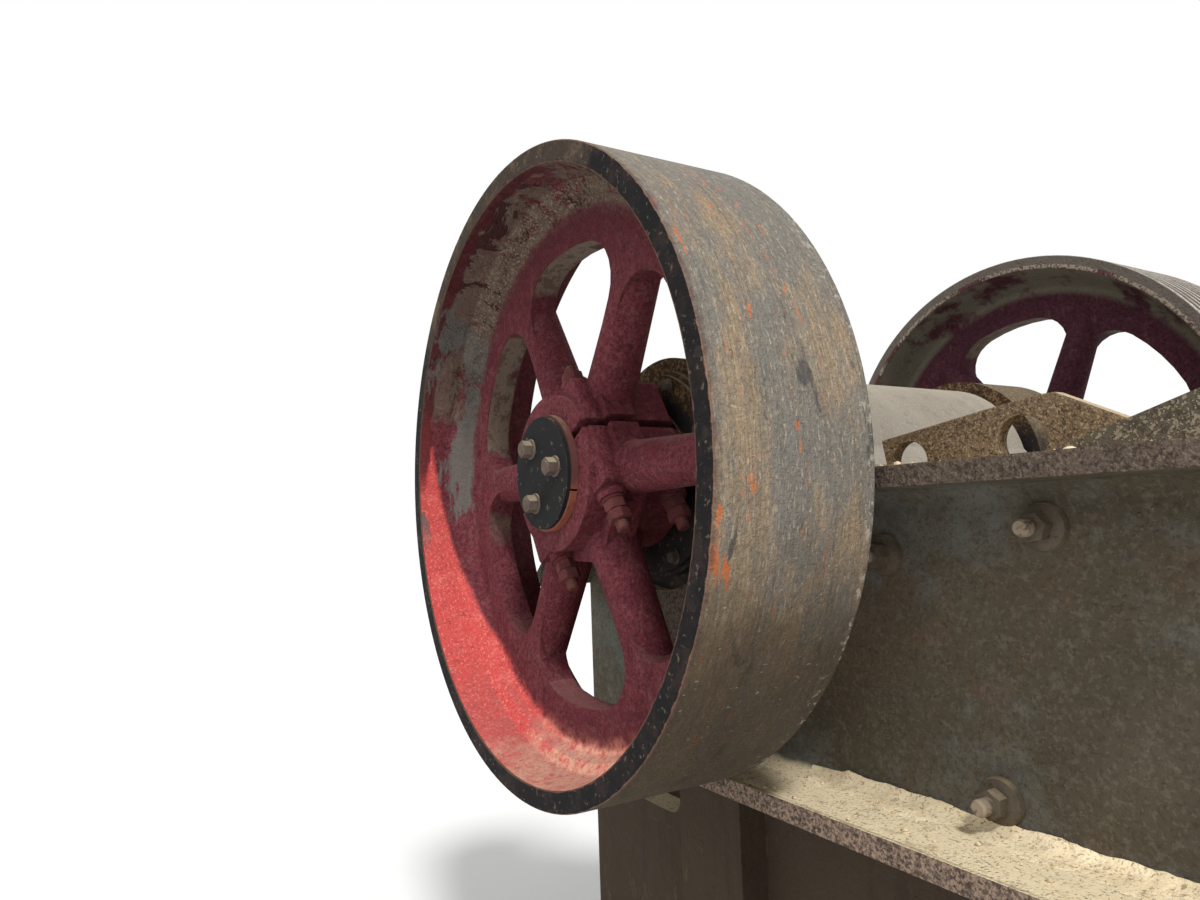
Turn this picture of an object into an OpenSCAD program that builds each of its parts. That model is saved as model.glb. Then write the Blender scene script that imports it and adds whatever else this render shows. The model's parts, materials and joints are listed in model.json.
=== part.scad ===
// Single-toggle jaw crusher with two spoked wheels on its eccentric shaft.
// X runs from the toggle end to the feed end, Y across the machine, Z up.
// The origin is the middle of the foundation bolt holes, on the floor.

/* [Machine] */
// Height of the eccentric shaft above the floor
shaft_h = 1620; // [1500:1:1800]
// Shaft position along the machine, from the middle of the foundation bolts
shaft_x = -300; // [-400:1:-200]
// Throw of the eccentric part of the shaft
throw = 12; // [6:1:18]
// Clear width between the two side walls
chamber_w = 940; // [800:1:1000]
// Seat clearance between pieces that bear on each other
seat = 0.3; // [0.2:0.1:0.5]

/* [Side walls] */
// Thickness of the side wall plate
wall_t = 50; // [35:1:60]
// Front end of the frame
frame_front = 1020; // [980:1:1080]
// Rear end of the frame
frame_rear = -1000; // [-1060:1:-980]
// Reach of the flanges beyond the wall's outer face
flange_reach = 195; // [150:1:200]
// Thickness of the top flange
top_flange_t = 38; // [28:1:50]
// Thickness of the lower flange
low_flange_t = 42; // [30:1:55]
// Height of the lower flange's upper face
low_flange_z = 932; // [850:1:980]
// Height of the upper face of the rear flange, behind the pillar
rear_flange_z = 731; // [600:1:800]
// Fillet radius between the wall and its flanges
fillet_r = 36; // [20:1:45]
// Thickness of the foot flange along the floor
foot_t = 50; // [35:1:60]
// Width of the bearing pillar below the shaft
pillar_w = 240; // [200:1:280]
// Depth of the bearing pillar beyond the wall's outer face
pillar_d = 80; // [50:1:120]
// Length of the sloping front gusset
gusset_len = 460; // [300:1:500]
// Rise of the sloping front gusset above the top flange
gusset_rise = 131; // [60:1:150]

/* [Wheels] */
// Outside diameter of both wheels
wheel_d = 1450; // [1350:1:1500]
// Thickness of the rim at its faces
rim_t = 45; // [36:1:60]
// Gap between the frame's flanges and the wheels
wheel_gap = 33; // [20:1:60]
// Thickness of the web ring
web_t = 72; // [50:1:84]
// Distance from the wheel's outer face to the middle of the web
web_s = 186; // [178:1:200]
// Radial width of the web ring between the windows and the rim
web_ring_w = 140; // [110:1:180]
// Number of spokes
spokes = 6; // [5:1:7]
// Corner radius of the windows at the web ring
window_round = 100; // [60:1:110]
// Radius of a spoke at the web ring
spoke_r = 49; // [44:1:54]
// Radius of a spoke at the hub
spoke_root_r = 58; // [54:1:62]
// Distance from the wheel's outer face to the spokes' axes
spoke_s = 198; // [190:1:206]
// Turn of the pulley's spokes against the flywheel's
pulley_phase = 8; // [0:1:30]
// Number of belt grooves in the pulley
grooves = 9; // [5:1:9]
// Pitch of the belt grooves
groove_pitch = 37; // [30:1:40]
// Distance from the rim's faces to the middle of the outer grooves
groove_edge = 29.5; // [20:0.5:40]
// Depth of the belt grooves
groove_d = 24; // [15:1:28]

/* [Hub] */
// Radius of the hub boss
hub_r = 182; // [165:1:200]
// Distance from the wheel's outer face to the hub's outer face
hub_s = 92; // [85:1:110]
// Gap between the hubs and the bearings' seal covers
hub_gap = 24.7; // [15:0.1:40]
// Width of the clamping slots that split the hub
slot_w = 20; // [10:1:24]
// Offset of the clamping slots from the shaft's axis
slot_off = 10; // [0:1:14]
// Distance from the shaft's axis to the outer faces of the clamping lugs
lug_d = 188; // [184:1:194]
// Half length of the clamping lugs across the slot
lug_t = 138; // [120:1:146]
// Distance from the shaft's axis to the clamp bolts
clamp_d = 134; // [132:1:142]
// Radius of the clamp bolts' holes
clamp_hole_r = 16; // [13:1:17]
// Radius of the end disc
disc_r = 130; // [118:1:150]
// Thickness of the end disc
disc_t = 10; // [8:1:14]
// Thickness of the split ring behind the end disc
ring_t = 16; // [12:1:20]

/* [Shaft and bearings] */
// Radius of the shaft in the wheel hubs
journal_r = 100; // [85:1:108]
// Radius of the shaft in the main bearings
bearing_r = 112; // [109:1:120]
// Height of the eccentric part's step above the bearing part, where the step is lowest
eccentric_step = 11; // [8:1:20]
// Outside radius of a main bearing housing
housing_r = 290; // [270:1:310]
// Reach of the housings inside the walls
housing_reach = 26; // [20:1:40]
// Step from the flange's edge back to a housing's outer face
housing_lip = 3; // [2:1:20]
// Half length of the housing's feet along the machine
housing_foot = 410; // [380:1:440]
// Thickness of the cap's feet
housing_foot_t = 46; // [38:1:60]
// Thickness of the base's feet, between the top flange and the split
housing_base_t = 35; // [25:1:60]

/* [Swing jaw] */
// Radius of the swing jaw's barrel
barrel_r = 272; // [250:1:285]
// Gap between the barrel's end rings and the bearing housings
barrel_gap = 19.7; // [10:0.1:30]
// Gap between the swing jaw plate's sides and the cheek plates
plate_gap = 11.7; // [6:0.1:20]
// Thickness of the jaw plates at the tips of their teeth
jaw_t = 85; // [70:1:100]
// Depth of the jaw teeth
tooth_d = 38; // [25:1:45]
// Number of teeth on each jaw plate
teeth = 9; // [7:1:11]
// Width of the feed opening between the jaw plates
gape = 600; // [560:1:600]
// Gap between the jaw plates at the bottom
discharge = 110; // [100:1:130]

/* [Toggle] */
// Thickness of the toggle plate
toggle_t = 50; // [40:1:60]
// Radius of the toggle plate's round ends
toggle_end_r = 34; // [30:1:40]
// Width of the toggle plate
toggle_w = 700; // [500:1:760]
// Radius of the tension rods
rod_r = 22; // [16:1:26]
// Distance of each tension rod from the machine's middle
rod_y = 250; // [180:1:300]

/* [Hidden] */
$fn = 96;

// Paint and metal colours
c_frame = [0.33, 0.32, 0.27];
c_housing = [0.47, 0.46, 0.42];
c_cheek = [0.38, 0.28, 0.19];
c_steel = [0.45, 0.42, 0.38];
c_red = [0.55, 0.13, 0.14];
c_black = [0.13, 0.13, 0.13];
c_ring = [0.72, 0.25, 0.15];

// Running clearance between a shaft and its bearing
run_gap = 0.06;

wall_in = chamber_w / 2;
wall_out = wall_in + wall_t;
flange_out = wall_out + flange_reach;
// The top flange carries the housings, whose split lies at the shaft's height
top_flange_z = shaft_h - housing_base_t;
slope_top = top_flange_z - 235;

// Bearing housings and their seal covers, measured from the machine's middle
housing_y0 = wall_in - housing_reach;
housing_y1 = flange_out - housing_lip;
cover_t = 24;

wheel_r = wheel_d / 2;
rim_in = wheel_r - rim_t;
rim_w = (grooves - 1) * groove_pitch + 2 * groove_edge;
window_r = rim_in - web_ring_w;
// Distance from the machine's middle to a wheel's outer face, and the hub that fills what is left
wheel_y = flange_out + wheel_gap + rim_w;
hub_len = wheel_y - hub_s - hub_gap - cover_t - seat - housing_y1;
eccentric_r = bearing_r + throw + eccentric_step;
// Radius at which the windows begin, outside the hub
window_root_r = hub_r + 42;
// The slots lie midway between two spokes
slot_turn = 180 / spokes;
// Step from the boss's ends to the lugs' ends, and the clamp bolts' places along the hub
lug_step = 12;
clamp_s = [hub_s + 50, hub_s + hub_len - 45];
// The clamp bolts' nuts seat here, measured across the slot from the shaft's axis
clamp_seat = lug_t + 20;
clamp_boss_r = 34;
frame_len = frame_front - frame_rear;

// Foundation bolt holes
bolt_x = 840;
bolt_y = 660;
bolt_r = 24;

// Cheek plates
cheek_t = 28;
cheek_in = wall_in - cheek_t - seat;
// The upper and lower cheek plates meet here, with a gap
cheek_split_z = 1007;
cheek_gap = 6;

// Jaw plates: top and bottom of both faces
jaw_top_z = top_flange_z;
jaw_low_z = 405;
fixed_top_x = shaft_x + 1040;
fixed_low_x = shaft_x + 945;
swing_top_x = fixed_top_x - gape;
swing_low_x = fixed_low_x - discharge;
jaw_h = jaw_top_z - jaw_low_z;
jaw_w = 2 * cheek_in - 6;
swing_w = 2 * (cheek_in - plate_gap);

// Barrel of the swing jaw
end_ring_t = 24;
barrel_half = housing_y0 - barrel_gap - end_ring_t - seat;
ecc_z = shaft_h - throw;

// Toggle: middles of its round ends
toggle_front = [shaft_x + 440, 560];
toggle_rear = [shaft_x - 250, 500];
toggle_gap = throw + 6;
block_front = toggle_rear[0] - toggle_end_r - 10;
block_l = 170;
block_h = 260;
shim_l = 50;
rear_wall_t = 60;
boss_front = block_front - block_l - shim_l;

// Helpers

// Unit vector
function unit(v) = v / norm(v);

// Points of one rounded corner b between a and c, each corner being [x, y, radius]
function corner(a, b, c, n) =
  let (p = [b[0], b[1]], u = unit([a[0], a[1]] - p), v = unit([c[0], c[1]] - p),
       h = acos(max(-1, min(1, u * v))) / 2, m = p + unit(u + v) * b[2] / sin(h),
       s = p + u * b[2] / tan(h) - m, e = p + v * b[2] / tan(h) - m,
       a0 = atan2(s[1], s[0]), d0 = atan2(e[1], e[0]) - a0,
       d = d0 > 180 ? d0 - 360 : d0 < -180 ? d0 + 360 : d0)
  [for (i = [0:n]) m + b[2] * [cos(a0 + d * i / n), sin(a0 + d * i / n)]];

// Polygon with rounded corners
function rounded(pts, n = 6) =
  let (k = len(pts))
  [for (i = [0:k - 1]) each (pts[i][2] <= 0 ? [[pts[i][0], pts[i][1]]]
    : corner(pts[(i + k - 1) % k], pts[i], pts[(i + 1) % k], n))];

// Places a piece with its local Z along the shaft, pointing to the near side
module on_shaft() {
  translate([shaft_x, 0, shaft_h]) rotate([90, 0, 0]) children();
}

// Places a flat X-Z outline so that it runs from y0 to y1
module slab(y0, y1) {
  translate([0, y1, 0]) rotate([90, 0, 0]) linear_extrude(height = y1 - y0) children();
}

// Copies a near-side piece to the far side
module far() {
  mirror([0, 1, 0]) children();
}

// Side walls

pillar_x0 = shaft_x - pillar_w / 2;
saddle_r = housing_r + seat;
front_pillar_w = 150;
// Flange along the wall's front edge, and the front pillar behind it
front_edge_t = 40;
front_pillar_x = frame_front - front_edge_t - front_pillar_w;
gusset_fall = 20;
// The wall slopes down from here to its rear end
slope_x = shaft_x - housing_foot - 20;
slope_flange_t = top_flange_t + 8;

// Outline of the wall plate, with the saddle for the bearing housing
module wall_outline() {
  difference() {
    polygon([[frame_rear, foot_t], [frame_front, foot_t],
      [frame_front, top_flange_z + gusset_rise - gusset_fall],
      [frame_front - front_edge_t, top_flange_z + gusset_rise],
      [frame_front - gusset_len, top_flange_z],
      [slope_x, top_flange_z], [frame_rear, slope_top]]);
    translate([shaft_x, shaft_h]) circle(saddle_r);
  }
}

// Outline of the curved saddle flange and the pillar that carry the housing
module saddle_outline() {
  difference() {
    union() {
      intersection() {
        translate([shaft_x, shaft_h]) circle(saddle_r + top_flange_t);
        translate([shaft_x - 2 * saddle_r, top_flange_z - 2 * saddle_r])
          square([4 * saddle_r, 2 * saddle_r]);
      }
      translate([pillar_x0, low_flange_z])
        square([pillar_w, shaft_h - low_flange_z - saddle_r + pillar_w / 3]);
    }
    translate([shaft_x, shaft_h]) circle(saddle_r);
  }
}

// Fillet along the wall's outer face from x0 to x1: under a flange for side -1, on it for side 1
module wall_fillet(x0, x1, z, side) {
  translate([x0, -wall_out, z]) rotate([90, 0, 90]) linear_extrude(height = x1 - x0)
    mirror([0, side < 0 ? 1 : 0]) difference() {
      translate([-fillet_r, -1]) square([fillet_r + 1, fillet_r + 1]);
      translate([-fillet_r, fillet_r]) circle(fillet_r);
    }
}

// Flange behind the pillar, with a round corner where it meets the pillar
module rear_flange() {
  corner_r = 45;
  slab(-wall_out - pillar_d, -wall_out) {
    translate([frame_rear, rear_flange_z - low_flange_t])
      square([pillar_x0 - frame_rear + 1, low_flange_t]);
    difference() {
      translate([pillar_x0 - corner_r, rear_flange_z - 1]) square(corner_r + 1);
      translate([pillar_x0 - corner_r, rear_flange_z + corner_r]) circle(corner_r);
    }
  }
}

module side_wall() {
  color(c_frame) difference() {
    union() {
      slab(-wall_out, -wall_in) wall_outline();
      // top flange in front of the housing and behind it
      slab(-flange_out, -wall_out) difference() {
        union() {
          translate([shaft_x, top_flange_z - top_flange_t])
            square([frame_front - shaft_x, top_flange_t]);
          translate([slope_x, top_flange_z - top_flange_t])
            square([shaft_x - slope_x, top_flange_t]);
          polygon([[slope_x, top_flange_z], [slope_x, top_flange_z - slope_flange_t],
            [frame_rear, slope_top - slope_flange_t], [frame_rear, slope_top]]);
        }
        translate([shaft_x, shaft_h]) circle(saddle_r);
      }
      slab(-flange_out, -wall_out) saddle_outline();
      // lower flange from the pillar to the front end
      translate([0, 0, low_flange_z - low_flange_t]) linear_extrude(height = low_flange_t)
        polygon([[pillar_x0, -wall_out], [pillar_x0, -wall_out - pillar_d],
          [pillar_x0 + pillar_w / 2, -flange_out], [frame_front, -flange_out],
          [frame_front, -wall_out]]);
      rear_flange();
      wall_fillet(shaft_x + saddle_r + 2 * top_flange_t, frame_front,
        top_flange_z - top_flange_t, -1);
      wall_fillet(pillar_x0 + pillar_w, frame_front, low_flange_z, 1);
      wall_fillet(pillar_x0 + pillar_w, frame_front, low_flange_z - low_flange_t, -1);
      // pillars below the lower flange
      slab(-wall_out - pillar_d, -wall_out) {
        translate([pillar_x0, foot_t]) square([pillar_w, low_flange_z - foot_t - 1]);
        translate([front_pillar_x, foot_t])
          square([frame_front - front_pillar_x, low_flange_z - foot_t - 1]);
      }
      // front edge flange
      slab(-wall_out - pillar_d, -wall_out)
        translate([frame_front - front_edge_t, foot_t])
          square([front_edge_t, top_flange_z - foot_t - 1]);
      // foot flange on the floor
      translate([frame_rear, -flange_out, 0]) cube([frame_len, flange_out - wall_in, foot_t]);
    }
    for (x = [-bolt_x, bolt_x])
      translate([x, -bolt_y, -1]) cylinder(r = bolt_r, h = foot_t + 2);
  }
}

module near_wall() {
  side_wall();
}

module far_wall() {
  far() side_wall();
}

// Front and rear walls

fixed_top = [fixed_top_x, jaw_top_z];
fixed_low = [fixed_low_x, jaw_low_z];
fixed_dir = unit(fixed_top - fixed_low);
fixed_nrm = [fixed_dir[1], -fixed_dir[0]];

// Inner face of the front wall at height z, at the back of the fixed jaw plate
function front_in(z) = let (p = fixed_low + fixed_nrm * (jaw_t + seat))
  p[0] + (z - p[1]) * fixed_dir[0] / fixed_dir[1];

front_wall_t = 70;
front_wall_low = 120;
front_wall_top = top_flange_z + 60;
front_rib_t = 40;
front_ribs = 5;
front_rib_low = front_wall_low + front_rib_t;
front_rib_pitch = (top_flange_z - 25 - front_rib_low) / (front_ribs - 1);
front_stay_y = 250;
// Ledge under the fixed jaw plate
ledge_lip = 12;
ledge_h = 70;
ledge_foot_z = jaw_low_z - 190;

module front_wall() {
  low_x = front_in(front_wall_low);
  front_plate_x = front_in(front_wall_top);
  stay_low = front_rib_low + front_rib_t;
  stay_top = top_flange_z - 15;
  color(c_frame) {
    slab(-wall_in + seat, wall_in - seat) {
      // sloping plate behind the fixed jaw, with its bottom ledge
      polygon([[low_x, front_wall_low], [low_x + front_wall_t, front_wall_low],
        [front_plate_x + front_wall_t, front_wall_top], [front_plate_x, front_wall_top]]);
      polygon([fixed_low + fixed_nrm * ledge_lip - fixed_dir * seat,
        fixed_low + fixed_nrm * ledge_lip - fixed_dir * ledge_h,
        [front_in(ledge_foot_z), ledge_foot_z],
        [front_in(jaw_low_z) + front_wall_t / 3, jaw_low_z - ledge_h],
        fixed_low + fixed_nrm * (jaw_t + ledge_lip) - fixed_dir * seat]);
      // horizontal ribs
      for (i = [0:front_ribs - 1]) let (z = front_rib_low + i * front_rib_pitch, z1 = z + front_rib_t)
        polygon([[front_in(z) + front_wall_t / 2, z], [frame_front, z], [frame_front, z1],
          [front_in(z1) + front_wall_t / 2, z1]]);
    }
    // vertical ribs
    for (y = [-front_stay_y, 0, front_stay_y])
      slab(y - front_rib_t / 2, y + front_rib_t / 2)
        polygon([[front_in(stay_low) + front_wall_t / 2, stay_low], [frame_front - 20, stay_low],
          [frame_front - 20, stay_top], [front_plate_x + front_wall_t / 2, stay_top]]);
  }
}

rear_wall_low = 120;
rear_wall_top = slope_top - 180;
rear_ledge_t = 40;
rear_ledge_w = 190;
rear_foot_w = 120;
rear_rib_t = 36;
rear_rib_h = 400;
rear_rib_y = 300;
rod_hole_r = rod_r + 8;

module rear_wall() {
  beam_z = toggle_rear[1] - block_h / 2 - 20;
  ledge_z = rear_wall_top - rear_ledge_t;
  color(c_frame) difference() {
    union() {
      slab(-wall_in + seat, wall_in - seat) {
        translate([frame_rear, rear_wall_low]) square([rear_wall_t, rear_wall_top - rear_wall_low]);
        // beam that takes the toggle's thrust
        translate([frame_rear, beam_z]) square([boss_front - frame_rear, block_h + 40]);
        translate([frame_rear, ledge_z]) square([rear_ledge_w, rear_ledge_t]);
        translate([frame_rear, rear_wall_low]) square([rear_foot_w, rear_ledge_t]);
      }
      for (y = [-rear_rib_y, 0, rear_rib_y])
        slab(y - rear_rib_t / 2, y + rear_rib_t / 2)
          polygon([[frame_rear, ledge_z - rear_rib_h], [frame_rear + rear_ledge_w, ledge_z + 1],
            [frame_rear, ledge_z + 1]]);
    }
    for (y = [-rod_y, rod_y])
      translate([frame_rear - 1, y, rod_z]) rotate([0, 90, 0])
        cylinder(r = rod_hole_r, h = boss_front - frame_rear + 2);
  }
}

// Main bearing housings

housing_w = housing_y1 - housing_y0;
// The feet stop short of the housing's faces
foot_inset = 15;
// Stepped rim of the outer face
step_d = 26;
step_w = 34;
// Seats of the cap's bolts, from the shaft's axis and from the housing's faces
bolt_seat_x = housing_foot - 60;
bolt_seat_y = 75;
bolt_seat_r = 44;
bolt_seat_h = 12;
cap_rib_t = 22;

// Bolt seats on the cap's feet, and a rib between each pair
module cap_feet_detail() {
  for (x = [-bolt_seat_x, bolt_seat_x], z = [housing_y0 + bolt_seat_y, housing_y1 - bolt_seat_y])
    translate([x, 1, z]) rotate([-90, 0, 0])
      cylinder(r = bolt_seat_r, h = housing_foot_t + bolt_seat_h - 1);
  for (m = [0, 1]) mirror([m, 0, 0])
    translate([0, 0, housing_y0 + (housing_w - cap_rib_t) / 2]) linear_extrude(height = cap_rib_t)
      polygon([[housing_r / 2, 1], [housing_foot - foot_inset, 1],
        [housing_foot - foot_inset, housing_foot_t + bolt_seat_h],
        [housing_r * cos(40), housing_r * sin(40)]]);
}

// One half of a main bearing housing: the cap for side 1, the base for side -1
module housing_half(side) {
  foot_low = side > 0 ? 0 : seat - housing_base_t;
  foot_high = side > 0 ? housing_foot_t : 0;
  color(c_housing) on_shaft() difference() {
    intersection() {
      union() {
        translate([0, 0, housing_y0]) cylinder(r = housing_r, h = housing_w);
        translate([-housing_foot, foot_low, housing_y0 + foot_inset])
          cube([2 * housing_foot, foot_high - foot_low, housing_w - 2 * foot_inset]);
        if (side > 0)
          cap_feet_detail();
      }
      translate([-housing_foot - 1, side > 0 ? seat / 2 : -housing_foot, housing_y0 - 1])
        cube([2 * housing_foot + 2, housing_foot - seat / 2, housing_w + 2]);
    }
    translate([0, 0, housing_y0 - 1]) cylinder(r = bearing_r + run_gap, h = housing_w + 2);
    translate([0, 0, housing_y1 - step_d]) difference() {
      cylinder(r = housing_r + 1, h = step_d + 1);
      translate([0, 0, -1]) cylinder(r = housing_r - step_w, h = step_d + 3);
    }
  }
}

module near_bearing_base() {
  housing_half(-1);
}

module far_bearing_base() {
  far() housing_half(-1);
}

module near_bearing_cap() {
  housing_half(1);
}

module far_bearing_cap() {
  far() housing_half(1);
}

module seal_cover() {
  color(c_housing) on_shaft() translate([0, 0, housing_y1 + seat]) difference() {
    union() {
      cylinder(r = housing_r - step_w - 10, h = 2 * cover_t / 3);
      cylinder(r = bearing_r + 45, h = cover_t);
    }
    translate([0, 0, -1]) cylinder(r = bearing_r + 6, h = cover_t + 2);
  }
}

module near_seal_cover() {
  seal_cover();
}

module far_seal_cover() {
  far() seal_cover();
}

// Chamber liners

// Peak of the upper cheek plate above the flange, from the shaft's axis
peak_x = shaft_x + 884;
peak_z = top_flange_z + 118;
// Lifting holes of the upper cheek plate, as place and radius
lifting_holes = [[shaft_x + 817, shaft_h + 4, 48], [shaft_x + 568, shaft_h - 16, 44]];

// Outline of the upper cheek plate, with its lifting holes
module upper_cheek_outline() {
  low_z = cheek_split_z + cheek_gap / 2;
  difference() {
    polygon([[swing_top_x + 60, top_flange_z + 70], [peak_x - 40, peak_z], [peak_x, peak_z],
      [fixed_top_x - 4, top_flange_z + 40], [fixed_top_x - 50, low_z], [swing_top_x + 180, low_z]]);
    for (h = lifting_holes)
      translate([h[0], h[1]]) circle(h[2]);
  }
}

module lower_cheek_outline() {
  high_z = cheek_split_z - cheek_gap / 2;
  low_z = jaw_low_z + 20;
  polygon([[swing_top_x + 184, high_z], [fixed_top_x - 51, high_z], [fixed_low_x - 6, low_z],
    [swing_low_x - 40, low_z]]);
}

module cheek_plates() {
  color(c_cheek) slab(-wall_in + seat, -cheek_in) {
    upper_cheek_outline();
    lower_cheek_outline();
  }
}

module near_cheek_plates() {
  cheek_plates();
}

module far_cheek_plates() {
  far() cheek_plates();
}

// A tooth's root and tip width, as shares of the pitch
tooth_root = 0.88;
tooth_tip = 0.28;

// Cross-section of a jaw plate, with teeth as flat-topped ridges
module tooth_profile(w) {
  p = w / teeth;
  root = tooth_root * p / 2;
  tip = tooth_tip * p / 2;
  polygon(concat([[-w / 2, 0]],
    [for (i = [0:teeth - 1]) let (y = -w / 2 + (i + 0.5) * p)
      each [[y - root, jaw_t - tooth_d], [y - tip, jaw_t], [y + tip, jaw_t],
        [y + root, jaw_t - tooth_d]]],
    [[w / 2, 0]]));
}

// Jaw plate whose tooth tips run from the top point to the bottom point
module jaw_plate(top, low, w, facing) {
  v = top - low;
  ang = atan2(v[0], v[1]);
  translate([low[0], 0, low[1]]) rotate([0, ang, 0])
    translate([facing > 0 ? -jaw_t : jaw_t, 0, 0]) rotate([0, 0, facing > 0 ? -90 : 90])
      linear_extrude(height = norm(v)) tooth_profile(w);
}

module fixed_jaw_plate() {
  color(c_steel) jaw_plate([fixed_top_x, jaw_top_z], [fixed_low_x, jaw_low_z], jaw_w, -1);
}

module swing_jaw_plate() {
  color(c_steel)
    jaw_plate([swing_top_x, jaw_top_z], [swing_low_x, jaw_low_z], swing_w, 1);
}

// Wedges that hold the jaw plates down
wedge_h = 50;
wedge_inset = 60;

module fixed_jaw_wedge() {
  color(c_steel) slab(-wall_in + wedge_inset, wall_in - wedge_inset)
    polygon([fixed_top + fixed_nrm * (jaw_t - 71) + fixed_dir * seat,
      fixed_top + fixed_nrm * jaw_t + fixed_dir * seat,
      fixed_top + fixed_nrm * jaw_t + fixed_dir * wedge_h,
      fixed_top + fixed_nrm * (jaw_t - 45) + fixed_dir * wedge_h]);
}

// Swing jaw

swing_dir = unit([swing_top_x - swing_low_x, jaw_h]);
swing_nrm = [swing_dir[1], -swing_dir[0]];
back_top = [swing_top_x, jaw_top_z] - swing_nrm * (jaw_t + seat);
back_low = [swing_low_x, jaw_low_z] - swing_nrm * (jaw_t + seat);
// Lip that carries the swing jaw plate
lip_h = 60;
lip_back = back_low - swing_dir * seat;
lip_front = back_low + swing_nrm * (jaw_t - 18) - swing_dir * seat;
lip_low = back_low + swing_nrm * (jaw_t - 18) - swing_dir * lip_h;
pitman_brow = [shaft_x + 220, ecc_z + 120];
// Face that takes the front toggle seat, and the ends of that face
seat_face_x = toggle_front[0] + 70;
seat_face_low = toggle_front[1] - 160;
seat_face_high = toggle_front[1] + 200;
// Height of the swing jaw's back above the seat, and where it meets the barrel
back_bend_z = ecc_z - 488;
back_meet_z = ecc_z - 208;
back_x = shaft_x - 120;

// Side view of the swing jaw below its barrel
module pitman_outline() {
  polygon(rounded([
    [back_top[0], back_top[1] - 2, 0], [back_low[0], back_low[1], 0],
    [lip_back[0], lip_back[1], 0], [lip_front[0], lip_front[1], 0],
    [lip_low[0], lip_low[1], 20], [back_low[0] - 140, back_low[1] - lip_h, 30],
    [seat_face_x, seat_face_low, 40], [seat_face_x, seat_face_high, 60],
    [shaft_x + 150, back_bend_z, 80], [back_x, back_meet_z, 60], [back_x, ecc_z + 40, 0],
    [pitman_brow[0], pitman_brow[1], 40]]));
}

// Pockets between the ribs of the swing jaw's back
pocket_w = 190;
pocket_pitch = 270;

module pitman_pocket() {
  pocket_top = ecc_z - barrel_r - 26;
  pocket_low = seat_face_high + 30;
  slab(-pocket_w / 2, pocket_w / 2)
    polygon([[shaft_x - 200, pocket_top], [shaft_x + 60, pocket_top - 40],
      [toggle_front[0] + 30, pocket_low], [toggle_front[0] - 100, pocket_low],
      [shaft_x - 200, back_bend_z - 20]]);
}

// Two ears that hold a tension rod's pin
ear_t = 28;
ear_gap = 48;

module rod_ears() {
  for (m = [-1, 1]) let (y = m * (ear_gap + ear_t) / 2)
    slab(y - ear_t / 2, y + ear_t / 2) hull() {
      translate([rod_eye_x, pin_z]) circle(pin_r + 16, $fn = 32);
      translate([rod_eye_x + 60, pin_z + 130]) circle(60, $fn = 32);
    }
}

module pitman() {
  color(c_housing) difference() {
    union() {
      translate([shaft_x, barrel_half, ecc_z]) rotate([90, 0, 0])
        cylinder(r = barrel_r, h = 2 * barrel_half);
      slab(-barrel_half, barrel_half) pitman_outline();
      for (y = [-rod_y, rod_y])
        translate([0, y, 0]) rod_ears();
    }
    for (y = [-rod_y, rod_y])
      translate([rod_eye_x, y + ear_gap / 2 + ear_t + 10, pin_z]) rotate([90, 0, 0])
        cylinder(r = pin_r + seat, h = ear_gap + 2 * ear_t + 20);
    translate([shaft_x, barrel_half + 1, ecc_z]) rotate([90, 0, 0])
      cylinder(r = eccentric_r + run_gap, h = 2 * barrel_half + 2);
    for (y = [-pocket_pitch, 0, pocket_pitch])
      translate([0, y, 0]) pitman_pocket();
  }
}

module pitman_end_rings() {
  color(c_cheek) for (m = [0, 1]) mirror([0, m, 0])
    translate([shaft_x, -barrel_half - seat, ecc_z]) rotate([90, 0, 0]) difference() {
      cylinder(r = barrel_r - 26, h = end_ring_t);
      translate([0, 0, -1]) cylinder(r = eccentric_r + 8, h = end_ring_t + 2);
    }
}

module swing_jaw_wedge() {
  color(c_steel) slab(-barrel_half, barrel_half)
    polygon([back_top + swing_dir * seat + [seat, 0],
      back_top + swing_nrm * (jaw_t - 18) + swing_dir * seat,
      back_top + swing_nrm * (jaw_t - 34) + swing_dir * (wedge_h - 8),
      back_top + 0.3 * (pitman_brow - back_top) + [2 * seat, 2 * seat]]);
}

front_seat_t = 62;
front_seat_h = 180;

// At rest the swing jaw and its seat lie one throw below the middle of their travel
module front_toggle_seat() {
  middle_z = toggle_front[1] - throw;
  color(c_steel) slab(-toggle_w / 2, toggle_w / 2) difference() {
    translate([seat_face_x - seat - front_seat_t, middle_z - front_seat_h / 2])
      square([front_seat_t, front_seat_h]);
    translate([toggle_front[0], middle_z]) circle(toggle_end_r + toggle_gap);
  }
}

module rod_pins() {
  color(c_steel) for (y = [-rod_y, rod_y])
    translate([rod_eye_x, y + ear_gap / 2 + ear_t + 8, pin_z]) rotate([90, 0, 0])
      cylinder(r = pin_r, h = ear_gap + 2 * ear_t + 16);
}

// Toggle and its adjustment

module toggle_plate() {
  d = toggle_front - toggle_rear;
  ang = atan2(d[1], d[0]);
  color(c_steel) slab(-toggle_w / 2 + 5, toggle_w / 2 - 5)
    translate(toggle_rear) rotate(ang) {
      circle(toggle_end_r);
      translate([norm(d), 0]) circle(toggle_end_r);
      translate([0, -toggle_t / 2]) square([norm(d), toggle_t]);
    }
}

rear_seat_t = 40;
rear_seat_h = 160;

module rear_toggle_seat() {
  color(c_steel) slab(-toggle_w / 2, toggle_w / 2) difference() {
    translate([block_front + seat, toggle_rear[1] - rear_seat_h / 2])
      square([rear_seat_t, rear_seat_h]);
    translate(toggle_rear) circle(toggle_end_r + seat);
  }
}

module adjusting_block() {
  color(c_frame) slab(-wall_in + seat, wall_in - seat)
    translate([block_front - block_l, toggle_rear[1] - block_h / 2])
      square([block_l, block_h]);
}

shims = 4;

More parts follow.
